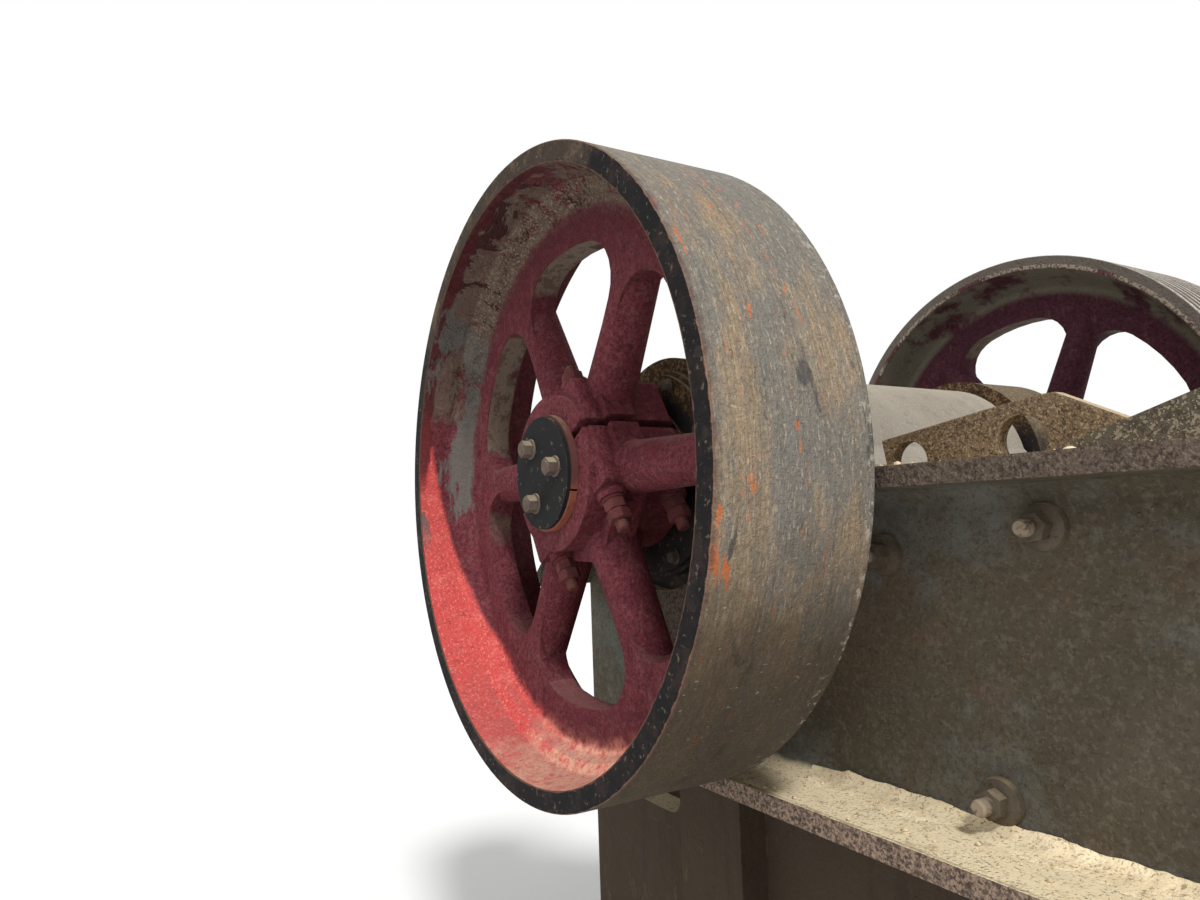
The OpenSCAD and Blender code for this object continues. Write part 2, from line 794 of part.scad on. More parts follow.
module adjusting_shims() {
  pitch = shim_l / shims;
  color(c_steel) for (i = [0:shims - 1])
    slab(-wall_in + 40, wall_in - 40)
      translate([boss_front + seat + i * pitch, toggle_rear[1] - block_h / 2 + 10])
        square([pitch - 2 * seat, block_h - 20]);
}

ledge_t = 60;

module guide_ledges() {
  color(c_frame) for (m = [0, 1]) mirror([0, m, 0])
    translate([boss_front, -wall_in + seat, toggle_rear[1] - block_h / 2 - ledge_t - seat])
      cube([block_l + shim_l, ledge_t, ledge_t]);
}

rod_z = 300;
// The pins ride with the swing jaw, so at rest they lie one throw below the middle of their travel
pin_z = rod_z - throw;
rod_eye_x = toggle_front[0] + 60;
pin_r = 18;
eye_r = 62;
eye_t = 32;
eye_hole_r = pin_r + toggle_gap + 4;
spring_l = 150;
spring_n = 6;
spring_r = 47;
spring_wire = 8;
spring_plate_t = 12;
spring_x0 = frame_rear - spring_plate_t - 2 * seat - spring_l;
nut_t = 20;
nut_x0 = spring_x0 - spring_plate_t - 2 * seat;
// The rods stick out beyond their nuts
rod_end = nut_x0 - 2 * nut_t - 35;

module tension_rods() {
  color(c_steel) for (y = [-rod_y, rod_y]) {
    translate([rod_end, y, rod_z]) rotate([0, 90, 0])
      cylinder(r = rod_r, h = rod_eye_x - rod_end - eye_hole_r - 5);
    translate([rod_eye_x, y + eye_t / 2, rod_z]) rotate([90, 0, 0]) difference() {
      cylinder(r = eye_r, h = eye_t);
      translate([0, 0, -1]) cylinder(r = eye_hole_r, h = eye_t + 2);
    }
  }
}

module spring_plates() {
  color(c_steel) for (y = [-rod_y, rod_y])
    for (x = [frame_rear - spring_plate_t - seat, spring_x0 - seat - spring_plate_t])
      translate([x, y, rod_z]) rotate([0, 90, 0]) difference() {
        cylinder(r = spring_r + spring_wire + 11, h = spring_plate_t);
        translate([0, 0, -1]) cylinder(r = rod_r + 2, h = spring_plate_t + 2);
      }
}

// Coil along Z as a tube swept on a helix, its ends flattened onto the spring plates
module coil(r, wire_r, length, turns) {
  per_turn = 16;
  sides = 8;
  flat = 0.7;
  n = turns * per_turn;
  function lift(i) = wire_r + (length - 2 * wire_r) *
    max(0, min(1, (i / per_turn - flat) / (turns - 2 * flat)));
  function ring(i) = let (a = 360 * i / per_turn)
    [for (k = [0:sides - 1]) let (b = 360 * k / sides)
      [(r + wire_r * cos(b)) * cos(a), (r + wire_r * cos(b)) * sin(a), lift(i) + wire_r * sin(b)]];
  polyhedron([for (i = [0:n]) each ring(i)], concat(
    [[for (k = [0:sides - 1]) k]],
    [for (i = [0:n - 1], k = [0:sides - 1]) let (a = i * sides, b = a + sides, k2 = (k + 1) % sides)
      each [[a + k, b + k, b + k2], [a + k, b + k2, a + k2]]],
    [[for (k = [sides - 1:-1:0]) n * sides + k]]));
}

module tension_springs() {
  color(c_red) for (y = [-rod_y, rod_y])
    translate([spring_x0, y, rod_z]) rotate([0, 90, 0])
      coil(spring_r, spring_wire, spring_l, spring_n);
}

module rod_nuts() {
  color(c_steel) for (y = [-rod_y, rod_y])
    for (i = [1, 2])
      translate([nut_x0 - i * nut_t, y, rod_z]) rotate([0, 90, 0]) difference() {
        cylinder(r = rod_r + 14, h = nut_t - seat, $fn = 6);
        translate([0, 0, -1]) cylinder(r = rod_r + seat, h = nut_t + 2);
      }
}

// Rotor

module eccentric_shaft() {
  journal_end = wheel_y - hub_s;
  bearing_end = journal_end - hub_len - 2;
  eccentric_end = housing_y0 - 14;
  color(c_steel) {
    on_shaft() {
      translate([0, 0, -journal_end]) cylinder(r = journal_r, h = 2 * journal_end);
      translate([0, 0, -bearing_end]) cylinder(r = bearing_r, h = 2 * bearing_end);
    }
    translate([shaft_x, eccentric_end, ecc_z]) rotate([90, 0, 0])
      cylinder(r = eccentric_r, h = 2 * eccentric_end);
  }
}

// One window between two spokes, centred on the X axis. Its sides run inside the round spokes.
module window_outline() {
  half = 180 / spokes;
  inset = spoke_r / 2;
  u = [cos(half), sin(half)];
  n = [sin(half), -cos(half)];
  outer = sqrt(window_r * window_r - inset * inset) * u + inset * n;
  inner = window_root_r * u + inset * n;
  // the arc's straight pieces leave room for the corners
  arc = [for (a = [-0.4:0.2:0.4]) [window_r * cos(a * half), window_r * sin(a * half), 0]];
  polygon(rounded([[inner[0], -inner[1], 40], [outer[0], -outer[1], window_round], each arc,
    [outer[0], outer[1], window_round], [inner[0], inner[1], 40]]));
}

// The web ring's two faces, as depth from the wheel's outer face
web_s0 = web_s - web_t / 2;
web_s1 = web_s + web_t / 2;
// The rim's section runs this far into the web ring
rim_root = 90;

// Inside of the rim's section as radius, depth and corner radius, with the ridge before the web
function rim_inside() = rounded([
  [rim_in, 0, 0], [rim_in - 12, web_s0 - 52, 12], [rim_in - 34, web_s0 - 34, 12],
  [rim_in - 52, web_s0, 26], [rim_in - rim_root, web_s0, 0], [rim_in - rim_root, web_s1, 0],
  [rim_in - 44, web_s1, 30], [rim_in - 22, web_s1 + 46, 20], [rim_in + 4, rim_w, 0]]);

// Half widths of a belt groove at its mouth and its floor
groove_mouth = 12;
groove_floor = 6.5;

// Groove corners along the rim's outer face
function groove_pts() =
  [for (i = [grooves - 1:-1:0]) let (s = groove_edge + i * groove_pitch)
    each [[wheel_r, s + groove_mouth], [wheel_r - groove_d, s + groove_floor],
      [wheel_r - groove_d, s - groove_floor], [wheel_r, s - groove_mouth]]];

// Wheel whose outer face lies at local Z = 0 and whose depth runs to -Z
module wheel(phase, grooved) {
  edge = 3;
  outer = [[wheel_r - edge, rim_w], [wheel_r, rim_w - edge], each (grooved ? groove_pts() : []),
    [wheel_r, edge], [wheel_r - edge, 0]];
  mirror([0, 0, 1]) difference() {
    union() {
      rotate_extrude($fn = 144) polygon(concat(rim_inside(), outer));
      // web with its windows
      translate([0, 0, web_s0]) linear_extrude(height = web_t) difference() {
        circle(rim_in - rim_root + 10);
        for (i = [0:spokes - 1])
          rotate(phase + (i + 0.5) * 360 / spokes) window_outline();
      }
      for (i = [0:spokes - 1]) rotate([0, 0, phase + i * 360 / spokes])
        translate([0, 0, spoke_s]) spoke();
      rotate([0, 0, phase]) hub_block();
    }
    translate([0, 0, hub_s - 1]) cylinder(r = journal_r + run_gap, h = hub_len + 2);
    rotate([0, 0, phase + slot_turn]) {
      // clamping slots through both sides of the hub
      translate([-window_root_r - 40, slot_off - slot_w / 2, hub_s - 1])
        cube([2 * window_root_r + 80, slot_w, hub_len + 2]);
      for (d = [-clamp_d, clamp_d], s = clamp_s)
        translate([d, lug_t + 60, s]) rotate([90, 0, 0])
          cylinder(r = clamp_hole_r, h = 2 * lug_t + 120);
    }
  }
}

// Round spoke along X, flared at the hub and tapering into the web ring
module spoke() {
  flare = 10;
  root = hub_r - 40;
  bar = window_r - 30;
  tip = bar + 105;
  tip_r = 14;
  rotate([0, 90, 0]) rotate_extrude() polygon([[0, root], [spoke_root_r + flare, root],
    [spoke_root_r, hub_r + 50], [spoke_r, bar], [tip_r, tip], [0, tip]]);
}

// Hub boss with a block of clamping lugs, and round seats for the clamp bolts' nuts
module hub_block() {
  translate([0, 0, hub_s]) cylinder(r = hub_r, h = hub_len);
  rotate([0, 0, slot_turn]) {
    translate([0, 0, hub_s + lug_step]) linear_extrude(height = hub_len - 2 * lug_step)
      polygon(rounded([[-lug_d, -lug_t, 10], [lug_d, -lug_t, 10], [lug_d, lug_t, 10],
        [-lug_d, lug_t, 10]], 3));
    for (d = [-clamp_d, clamp_d], s = clamp_s)
      translate([d, clamp_seat, s]) rotate([90, 0, 0]) cylinder(r = clamp_boss_r, h = 2 * clamp_seat);
  }
}

module flywheel() {
  color(c_red) on_shaft() translate([0, 0, wheel_y]) wheel(0, false);
}

module grooved_pulley() {
  color(c_red) far() on_shaft() translate([0, 0, wheel_y]) wheel(pulley_phase, true);
}

module end_discs() {
  color(c_black) for (m = [0, 1]) mirror([0, m, 0])
    on_shaft() translate([0, 0, wheel_y - hub_s + ring_t + 2 * seat])
      cylinder(r = disc_r, h = disc_t);
}

module split_rings() {
  color(c_ring) for (m = [0, 1]) mirror([0, m, 0])
    on_shaft() translate([0, 0, wheel_y - hub_s + seat]) difference() {
      cylinder(r = disc_r + 5, h = ring_t);
      translate([0, 0, -1]) cylinder(r = journal_r - 20, h = ring_t + 2);
      // the ring's joint
      rotate(-20) translate([0, -3, -1]) cube([disc_r + 20, 6, ring_t + 2]);
    }
}

near_wall();
far_wall();
front_wall();
rear_wall();
near_bearing_base();
far_bearing_base();
near_bearing_cap();
far_bearing_cap();
near_seal_cover();
far_seal_cover();
near_cheek_plates();
far_cheek_plates();
fixed_jaw_plate();
fixed_jaw_wedge();
adjusting_block();
adjusting_shims();
rear_toggle_seat();
toggle_plate();
guide_ledges();
tension_rods();
tension_springs();
spring_plates();
rod_nuts();
eccentric_shaft();
flywheel();
grooved_pulley();
end_discs();
split_rings();
pitman();
swing_jaw_plate();
swing_jaw_wedge();
pitman_end_rings();
front_toggle_seat();
rod_pins();
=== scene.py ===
"""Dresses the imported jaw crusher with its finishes, fasteners and dust, and sets up the studio."""

import json
import math
import random

import bmesh
import bpy
from mathutils import Matrix, Vector, noise


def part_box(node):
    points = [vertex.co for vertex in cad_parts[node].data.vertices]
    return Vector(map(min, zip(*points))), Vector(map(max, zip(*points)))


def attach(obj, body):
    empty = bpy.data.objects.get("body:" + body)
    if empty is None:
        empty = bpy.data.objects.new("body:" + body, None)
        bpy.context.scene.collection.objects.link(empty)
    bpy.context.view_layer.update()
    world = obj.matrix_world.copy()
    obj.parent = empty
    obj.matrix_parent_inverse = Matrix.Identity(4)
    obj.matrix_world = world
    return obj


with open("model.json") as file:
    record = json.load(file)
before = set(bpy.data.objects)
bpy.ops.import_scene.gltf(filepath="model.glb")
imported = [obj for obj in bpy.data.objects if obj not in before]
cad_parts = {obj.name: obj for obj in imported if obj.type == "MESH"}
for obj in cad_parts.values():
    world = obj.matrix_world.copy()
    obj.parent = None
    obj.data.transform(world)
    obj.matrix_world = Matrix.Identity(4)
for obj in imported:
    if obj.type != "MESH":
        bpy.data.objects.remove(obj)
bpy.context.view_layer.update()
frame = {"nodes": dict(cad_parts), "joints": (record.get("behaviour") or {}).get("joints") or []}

# Places taken from the frame, in metres
SHAFT_X, _, SHAFT_Z = frame["joints"][0]["pos_m"]
WHEEL_LOW, WHEEL_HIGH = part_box("flywheel")
WHEEL_Y = -WHEEL_LOW.y
WHEEL_R = (WHEEL_HIGH.z - WHEEL_LOW.z) / 2
RIM_W = WHEEL_HIGH.y - WHEEL_LOW.y
WALL_LOW, WALL_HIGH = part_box("near_wall")
FLANGE_Y = -WALL_LOW.y
CAP_LOW, CAP_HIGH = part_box("near_bearing_cap")
COVER_LOW, COVER_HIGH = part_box("near_seal_cover")
DISC_Y = -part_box("end_discs")[0].y

# Sizes that the frame's boxes don't give
RIM_T = 0.045
WALL_Y = 0.52
TOP_FLANGE_Z = 1.585
LOW_FLANGE_Z = 0.932
FLANGE_T = 0.04
CAP_SEAT = 0.058
CLEAN_END = WALL_Y + 0.05
FINEST = 0.0018
SLOT_TURN = math.radians(30)
PULLEY_PHASE = math.radians(8)
NEAR, FAR = -1, 1


def srgb(red, green, blue):
    """Linear colour of a display colour given from 0 to 255."""
    def linear(value):
        value /= 255
        return value / 12.92 if value <= 0.04045 else ((value + 0.055) / 1.055) ** 2.4
    return (linear(red), linear(green), linear(blue), 1.0)


class Shade:
    """One procedural material, built up as coats of colour, roughness and height in metres."""

    def __init__(self, name, colour, rough=0.8, rounding=0.004):
        self.material = bpy.data.materials.new(name)
        self.material.use_nodes = True
        self.tree = self.material.node_tree
        self.tree.nodes.clear()
        self.colour = colour
        self.rough = rough
        self.height = 0.0
        self.least = {}
        coords = self.node("ShaderNodeTexCoord")
        self.point = coords.outputs["Object"]
        self.x, self.y, self.z = self.node("ShaderNodeSeparateXYZ", {"Vector": self.point}).outputs
        facing = self.node("ShaderNodeSeparateXYZ", {"Vector": coords.outputs["Normal"]})
        self.up = facing.outputs["Z"]
        bevel = self.node("ShaderNodeBevel", {"Radius": rounding}, samples=2)
        self.rounded = bevel.outputs["Normal"]
        flat = self.node("ShaderNodeNewGeometry").outputs["Normal"]
        turn = self.node("ShaderNodeVectorMath", operation="DOT_PRODUCT")
        self.feed(turn.inputs[0], self.rounded)
        self.feed(turn.inputs[1], flat)
        self.edge = self.band(turn.outputs["Value"], 0.99, 0.86)

    def node(self, kind, values=(), **settings):
        new = self.tree.nodes.new(kind)
        for key, value in settings.items():
            setattr(new, key, value)
        for key, value in dict(values).items():
            self.feed(new.inputs[key], value)
        return new

    def feed(self, socket, value):
        if isinstance(value, bpy.types.NodeSocket):
            self.tree.links.new(value, socket)
        else:
            socket.default_value = value

    def math(self, operation, a, b=0.0, clamp=False):
        return self.node("ShaderNodeMath", {0: a, 1: b}, operation=operation, use_clamp=clamp).outputs[0]

    def add(self, a, b):
        return self.math("ADD", a, b)

    def times(self, a, b):
        return self.math("MULTIPLY", a, b)

    def both(self, *masks):
        result = masks[0]
        for mask in masks[1:]:
            result = self.times(result, mask)
        return result

    def flip(self, mask):
        return self.math("SUBTRACT", 1.0, mask)

    def band(self, value, low, high):
        """0 at low and 1 at high, smooth between them; low may be the larger."""
        return self.node("ShaderNodeMapRange", {"Value": value, "From Min": low, "From Max": high},
                         interpolation_type="SMOOTHSTEP").outputs["Result"]

    def within(self, value, low, high, soft):
        """1 between low and high, fading over soft outside them."""
        return self.times(self.band(value, low - soft, low), self.band(value, high + soft, high))

    def stretched(self, x, y, z, shift=0.0):
        point = self.node("ShaderNodeVectorMath", {0: self.point, 1: (x, y, z), 2: (shift, shift, shift)},
                          operation="MULTIPLY_ADD").outputs[0]
        self.least[point] = min(x, y, z)
        return point

    def noise(self, scale, detail=4.0, rough=0.6, point=None, warp=0.0):
        # waves finer than the eye can see are left out
        detail = min(detail, math.log2(1 / (self.least.get(point, scale) * FINEST)))
        return self.node("ShaderNodeTexNoise", {
            "Vector": self.point if point is None else point, "Scale": scale, "Detail": detail,
            "Roughness": rough, "Distortion": warp}).outputs[0]

    def patch(self, scale, low, high, detail=5.0, rough=0.62, point=None, warp=0.0):
        return self.band(self.noise(scale, detail, rough, point, warp), low, high)

    def pits(self, scale, size, point=None):
        """1 at the middle of scattered round pits or grains."""
        cells = self.node("ShaderNodeTexVoronoi", {
            "Vector": self.point if point is None else point, "Scale": scale, "Randomness": 1.0})
        return self.band(cells.outputs["Distance"], size, size * 0.45)

    def ragged(self, value, scale, amount, detail=6.0):
        """value with noise about zero added, so that borders drawn from it wander."""
        return self.add(value, self.times(self.add(self.noise(scale, detail), -0.5), amount))

    def mix(self, share, a, b):
        new = self.node("ShaderNodeMix", {0: share, 6: a, 7: b}, data_type="RGBA")
        return new.outputs[2]

    def coat(self, mask, colour, amount=1.0, rough=None, lift=0.0):
        """Lays a coat over what is there, where mask is 1."""
        share = mask if amount == 1.0 else self.times(mask, amount)
        self.colour = self.mix(share, self.colour, colour)
        if rough is not None:
            self.rough = self.node("ShaderNodeMix", {0: share, 2: self.rough, 3: rough},
                                   data_type="FLOAT").outputs[0]
        if lift:
            self.raise_by(mask, lift)

    def raise_by(self, mask, lift):
        self.height = self.add(self.height, self.times(mask, lift))

    def grain(self, scale, lift, detail=5.0, rough=0.65):
        self.raise_by(self.noise(scale, detail, rough), lift)

    def finish(self, metallic=0.0, specular=0.5):
        bump = self.node("ShaderNodeBump", {"Height": self.height, "Distance": 1.0, "Strength": 1.0,
                                            "Normal": self.rounded})
        shader = self.node("ShaderNodeBsdfPrincipled", {
            "Base Color": self.colour, "Roughness": self.rough, "Metallic": metallic,
            "Specular IOR Level": specular, "Normal": bump.outputs["Normal"]})
        out = self.node("ShaderNodeOutputMaterial")
        self.tree.links.new(shader.outputs[0], out.inputs["Surface"])
        return self.material


# Finishes

def wheel_finish(name, far_side):
    """Red casting with a worn rim: black side faces, a brown rolling surface and mud inside."""
    s = Shade(name, srgb(66, 36, 46) if far_side else srgb(96, 42, 49), 0.8, 0.009)
    dx = s.add(s.x, -SHAFT_X)
    dz = s.add(s.z, -SHAFT_Z)
    radius = s.math("SQRT", s.add(s.times(dx, dx), s.times(dz, dz)))
    depth = s.math("SUBTRACT", WHEEL_Y, s.math("ABSOLUTE", s.y))
    # turn is 0 towards the rear and positive above the shaft, in radians
    turn = s.math("ARCTAN2", dz, s.times(dx, -1.0))
    round_fine = s.stretched(5, 210, 5)

    # paint: maroon, faded to a dusty pink in mottles, with clusters of small pits
    s.coat(s.patch(2.2, 0.4, 0.62), srgb(78, 42, 52) if far_side else srgb(110, 54, 60), 0.7)
    s.coat(s.patch(20, 0.5, 0.7, 8, 0.7), srgb(132, 88, 86), 0.18 if far_side else 0.36, 0.9)
    s.coat(s.patch(75, 0.5, 0.6, 8, 0.75), srgb(150, 98, 102), 0.08 if far_side else 0.14)
    s.coat(s.patch(55, 0.55, 0.66, 6), srgb(62, 29, 33), 0.6)
    s.coat(s.patch(120, 0.5, 0.6, 5, 0.78), srgb(40, 20, 28) if far_side else srgb(68, 30, 36), 0.5, lift=-0.001)
    pitted = s.both(s.pits(150, 0.36), s.patch(6, 0.42, 0.6))
    s.coat(pitted, srgb(52, 28, 28), 0.7, lift=-0.0007)
    s.coat(s.patch(1.0, 0.56, 0.72, 7, 0.7, s.stretched(30, 30, 5, 2.0)), srgb(144, 112, 108), 0.22)
    if not far_side:
        # painted shade: the web's upper part darkened where shade falls on it
        painted_web_shade = s.both(s.band(s.ragged(dz, 3, 0.2), 0.25, 0.6), s.band(depth, 0.14, 0.15))
        s.coat(painted_web_shade, srgb(70, 30, 34), 0.55)
    inside = s.both(s.band(radius, WHEEL_R - 0.135, WHEEL_R - 0.1),
                    s.band(radius, WHEEL_R - RIM_T + 0.01, WHEEL_R - RIM_T + 0.005),
                    s.band(s.ragged(depth, 30, 0.012), 0.153, 0.143))
    if not far_side:
        # painted sunlight: the red is painted brighter low down, its border a painted shadow line slanting from the
        # open edge down to the web
        painted_shadow_slant = s.add(s.ragged(turn, 7, 0.2), s.times(depth, 9.0))
        painted_sunlight = s.both(inside, s.within(painted_shadow_slant, -1.9, 0.45, 0.16))
        s.coat(painted_sunlight, srgb(208, 84, 80), 0.92)
        s.coat(s.both(painted_sunlight, s.patch(1.0, 0.52, 0.68, 8, 0.72, s.stretched(26, 9, 26))), srgb(232, 130, 120), 0.45)
        s.coat(s.both(painted_sunlight, s.patch(1.0, 0.57, 0.66, 6, 0.6, s.stretched(60, 8, 60))), srgb(178, 70, 66), 0.5)
        s.coat(s.both(painted_sunlight, s.patch(90, 0.57, 0.66, 5)), srgb(140, 62, 56), 0.6)
        s.coat(s.both(painted_sunlight, s.patch(140, 0.56, 0.64, 5)), srgb(228, 150, 134), 0.5)
    bottom = s.both(inside, s.within(s.ragged(turn, 14, 0.7), -1.95, -1.5, 0.3), s.patch(44, 0.3, 0.56, 8, 0.76))
    s.coat(bottom, srgb(150, 120, 100) if far_side else srgb(222, 176, 150), 0.8, 0.95)
    s.coat(s.both(bottom, s.patch(120, 0.54, 0.62, 4)), srgb(118, 88, 76) if far_side else srgb(190, 134, 112), 0.6)

    # mud inside the rim at the top, torn into flakes, and drips of it below
    high = s.both(inside, s.within(s.ragged(turn, 6, 1.0), 0.42, 2.1, 0.2))
    s.coat(s.both(high, s.patch(8, 0.43, 0.47, 10, 0.74, warp=0.8)), srgb(102, 86, 76), 0.95, 0.95, 0.003)
    s.coat(s.both(high, s.patch(22, 0.5, 0.6, 10, 0.78, warp=0.8)), srgb(124, 107, 93), 0.5, 0.95, 0.0016)
    s.coat(s.both(high, s.patch(40, 0.54, 0.62, 7, 0.75, warp=0.6)), srgb(76, 52, 46), 0.5)
    s.coat(s.both(high, s.patch(3.4, 0.545, 0.56, 8, 0.66, warp=0.6)), srgb(60, 29, 32), 0.9, lift=-0.0025)
    bare = s.both(inside, s.within(turn, 0.1, 1.7, 0.2), s.band(s.ragged(depth, 9, 0.07), 0.032, 0.022))
    s.coat(bare, srgb(82, 37, 40), 0.9)
    drips = s.both(inside, s.within(turn, -0.12, 0.75, 0.2),
                   s.patch(1.0, 0.5, 0.54, 8, 0.62, s.stretched(8, 9, 2.6, 1.0)))
    s.coat(drips, srgb(100, 97, 92), 0.9, 0.92, 0.0012)
    ridge = s.both(s.within(radius, WHEEL_R - 0.125, WHEEL_R - 0.06, 0.01), s.within(depth, 0.1, 0.143, 0.008))
    s.coat(s.both(ridge, s.within(turn, 0.8, 2.2, 0.4), s.patch(150, 0.5, 0.58, 4)),
           srgb(140, 126, 108), 0.8, 0.98, 0.0025)
    arc = s.both(s.band(s.ragged(radius, 12, 0.05), 0.512, 0.528), s.within(depth, 0.154, 0.218, 0.003))
    if not far_side:
        arc = s.both(arc, s.band(s.ragged(turn, 9, 0.5), -0.35, -0.05))
    s.coat(arc, srgb(112, 102, 88) if far_side else srgb(122, 110, 96), 0.85, 0.95)
    s.coat(s.both(arc, s.patch(30, 0.48, 0.58, 8, 0.72)), srgb(84, 70, 60), 0.7)
    s.coat(s.both(arc, s.patch(7, 0.54, 0.6, 8)), srgb(74, 38, 40), 0.8)

    # dust on what faces up
    lying = s.both(s.band(s.ragged(s.up, 18, 0.6), 0.62, 0.98), s.band(radius, WHEEL_R - 0.03, WHEEL_R - 0.06))
    s.coat(lying, srgb(140, 100, 94), 0.4, 0.95)
    s.coat(s.both(s.edge, s.patch(30, 0.4, 0.6)), srgb(146, 92, 88), 0.35)

    # side faces of the rim, black with scuffs and rubbed edges
    face = s.both(s.band(radius, WHEEL_R - RIM_T - 0.004, WHEEL_R - RIM_T - 0.001),
                  s.flip(s.within(depth, 0.004, RIM_W - 0.004, 0.002)))
    if far_side:
        s.coat(s.both(s.band(radius, WHEEL_R - 0.12, WHEEL_R - 0.09), s.patch(8, 0.36, 0.52, 8)),
               srgb(112, 108, 94), 0.9, 0.95, 0.002)
        s.coat(face, srgb(152, 138, 124), 0.95, 0.9)
        s.coat(s.both(face, s.patch(130, 0.5, 0.57, 5)), srgb(82, 71, 63), 0.8, lift=0.0015)
        s.coat(s.both(face, s.patch(6, 0.54, 0.57, 8, 0.7)), srgb(84, 46, 52), 0.9, lift=-0.002)
        s.raise_by(s.both(face, s.noise(150, 4, 0.6)), 0.002)
    else:
        s.coat(face, srgb(27, 25, 26), 1.0, 0.85)
        s.coat(s.both(face, s.patch(10, 0.48, 0.62, 8, 0.74)), srgb(54, 43, 41), 0.6)
        aged = s.both(face, s.within(s.ragged(turn, 8, 1.1), 0.75, 2.0, 0.3))
        s.coat(aged, srgb(70, 60, 51), 0.75, 0.88)
        s.coat(s.both(aged, s.patch(9, 0.5, 0.6, 9, 0.74)), srgb(104, 88, 72), 0.7, 0.88)
        s.coat(s.both(face, s.patch(14, 0.56, 0.68, 9, 0.74)), srgb(58, 52, 46), 0.55, 0.88)
        s.coat(s.both(face, s.patch(85, 0.61, 0.69, 5)), srgb(118, 104, 86), 0.55)
        wander = s.ragged(radius, 40, 0.009, 7)
        s.coat(s.both(face, s.band(wander, WHEEL_R - 0.003, WHEEL_R - 0.0012)), srgb(142, 108, 80), 0.75)
        s.coat(s.both(face, s.band(wander, WHEEL_R - RIM_T + 0.003, WHEEL_R - RIM_T + 0.001)),
               srgb(116, 88, 74), 0.7)

    # rolling surface, streaked round the rim: greyer above, browner below, and painted darker below the shaft as shade
    tread = s.band(radius, WHEEL_R - 0.0025, WHEEL_R - 0.0008)
    if far_side:
        s.coat(s.band(radius, WHEEL_R - 0.03, WHEEL_R - 0.027), srgb(104, 96, 88), 1.0, 0.75)
        s.coat(tread, srgb(204, 197, 186), 0.85, 0.5)
    else:
        s.coat(tread, srgb(154, 134, 109), 1.0, 0.66)
        grey = s.add(s.band(depth, 0.05, 0.2), s.band(s.ragged(dz, 4, 0.9), 0.0, 0.7))
        s.coat(s.both(tread, s.band(s.add(s.noise(1.0, 7, 0.7, s.stretched(4, 11, 4, 5.0)),
                                          s.times(grey, 0.1)), 0.48, 0.66)), srgb(116, 117, 114), 0.8)
    s.coat(s.both(tread, s.patch(1.0, 0.46, 0.62, 8, 0.74, s.stretched(5, 60, 5, 5.0))), srgb(112, 104, 94), 0.45, 0.6)
    s.coat(s.both(tread, s.patch(1.0, 0.5, 0.66, 8, 0.78, s.stretched(40, 110, 40, 2.0))), srgb(88, 80, 71), 0.35)
    s.coat(s.both(tread, s.patch(1.0, 0.49, 0.64, 7, 0.7, round_fine)), srgb(88, 78, 67), 0.4, 0.6)
    s.coat(s.both(tread, s.patch(130, 0.5, 0.6, 6, 0.75)), srgb(92, 86, 79), 0.35)
    s.coat(s.both(tread, s.patch(1.0, 0.56, 0.64, 6, 0.7, s.stretched(50, 180, 50, 3.0))), srgb(190, 176, 152), 0.45)
    s.coat(s.both(tread, s.patch(1.0, 0.58, 0.66, 9, 0.74, s.stretched(4.5, 14, 4.5, 8.0), 0.3)),
           srgb(66, 66, 66), 0.75, 0.55)
    s.coat(s.both(tread, s.patch(1.0, 0.6, 0.65, 7, 0.72, s.stretched(8, 30, 8, 1.0)), s.band(depth, 0.27, 0.2)),
           srgb(202, 106, 56), 0.85)
    if not far_side:
        # painted shade: the rolling surface darkened below the shaft
        s.coat(s.both(tread, s.band(s.ragged(dz, 5, 0.3), -0.1, -0.42)), srgb(60, 50, 39), 0.8)
    s.coat(s.both(tread, s.patch(1.0, 0.67, 0.7, 4, 0.6, s.stretched(140, 60, 140, 9.0))), srgb(196, 184, 164), 0.4)
    s.coat(s.both(tread, s.band(depth, 0.02, 0.002), s.patch(30, 0.4, 0.58, 8)), srgb(82, 66, 60), 0.7)
    s.coat(s.both(tread, s.band(depth, 0.007, 0.002)), srgb(120, 84, 72), 0.5)
    s.coat(s.both(tread, s.band(depth, RIM_W - 0.05, RIM_W), s.patch(60, 0.57, 0.65, 7)), srgb(206, 198, 184), 0.5)

    s.grain(230, 0.0005)
    s.grain(110, 0.0011)
    s.raise_by(s.both(s.flip(tread), s.noise(36, 6, 0.65)), 0.0016)
    s.raise_by(s.both(tread, s.noise(1.0, 6, 0.6, round_fine)), 0.0005)
    return s.finish(specular=0.12)


def dusty(s, colour, low=0.55, high=0.95, amount=0.9, lift=0.0015):
    """Dust lying on what faces up."""
    lying = s.band(s.ragged(s.up, 14, 0.5), low, high)
    s.coat(lying, colour, amount, 0.97)
    s.raise_by(s.both(lying, s.noise(90, 6, 0.7)), lift)
    s.coat(s.both(lying, s.patch(26, 0.54, 0.66, 8, 0.72)), srgb(164, 144, 116), 0.55)
    s.coat(s.both(lying, s.patch(150, 0.58, 0.66, 3)), srgb(112, 96, 76), 0.65)


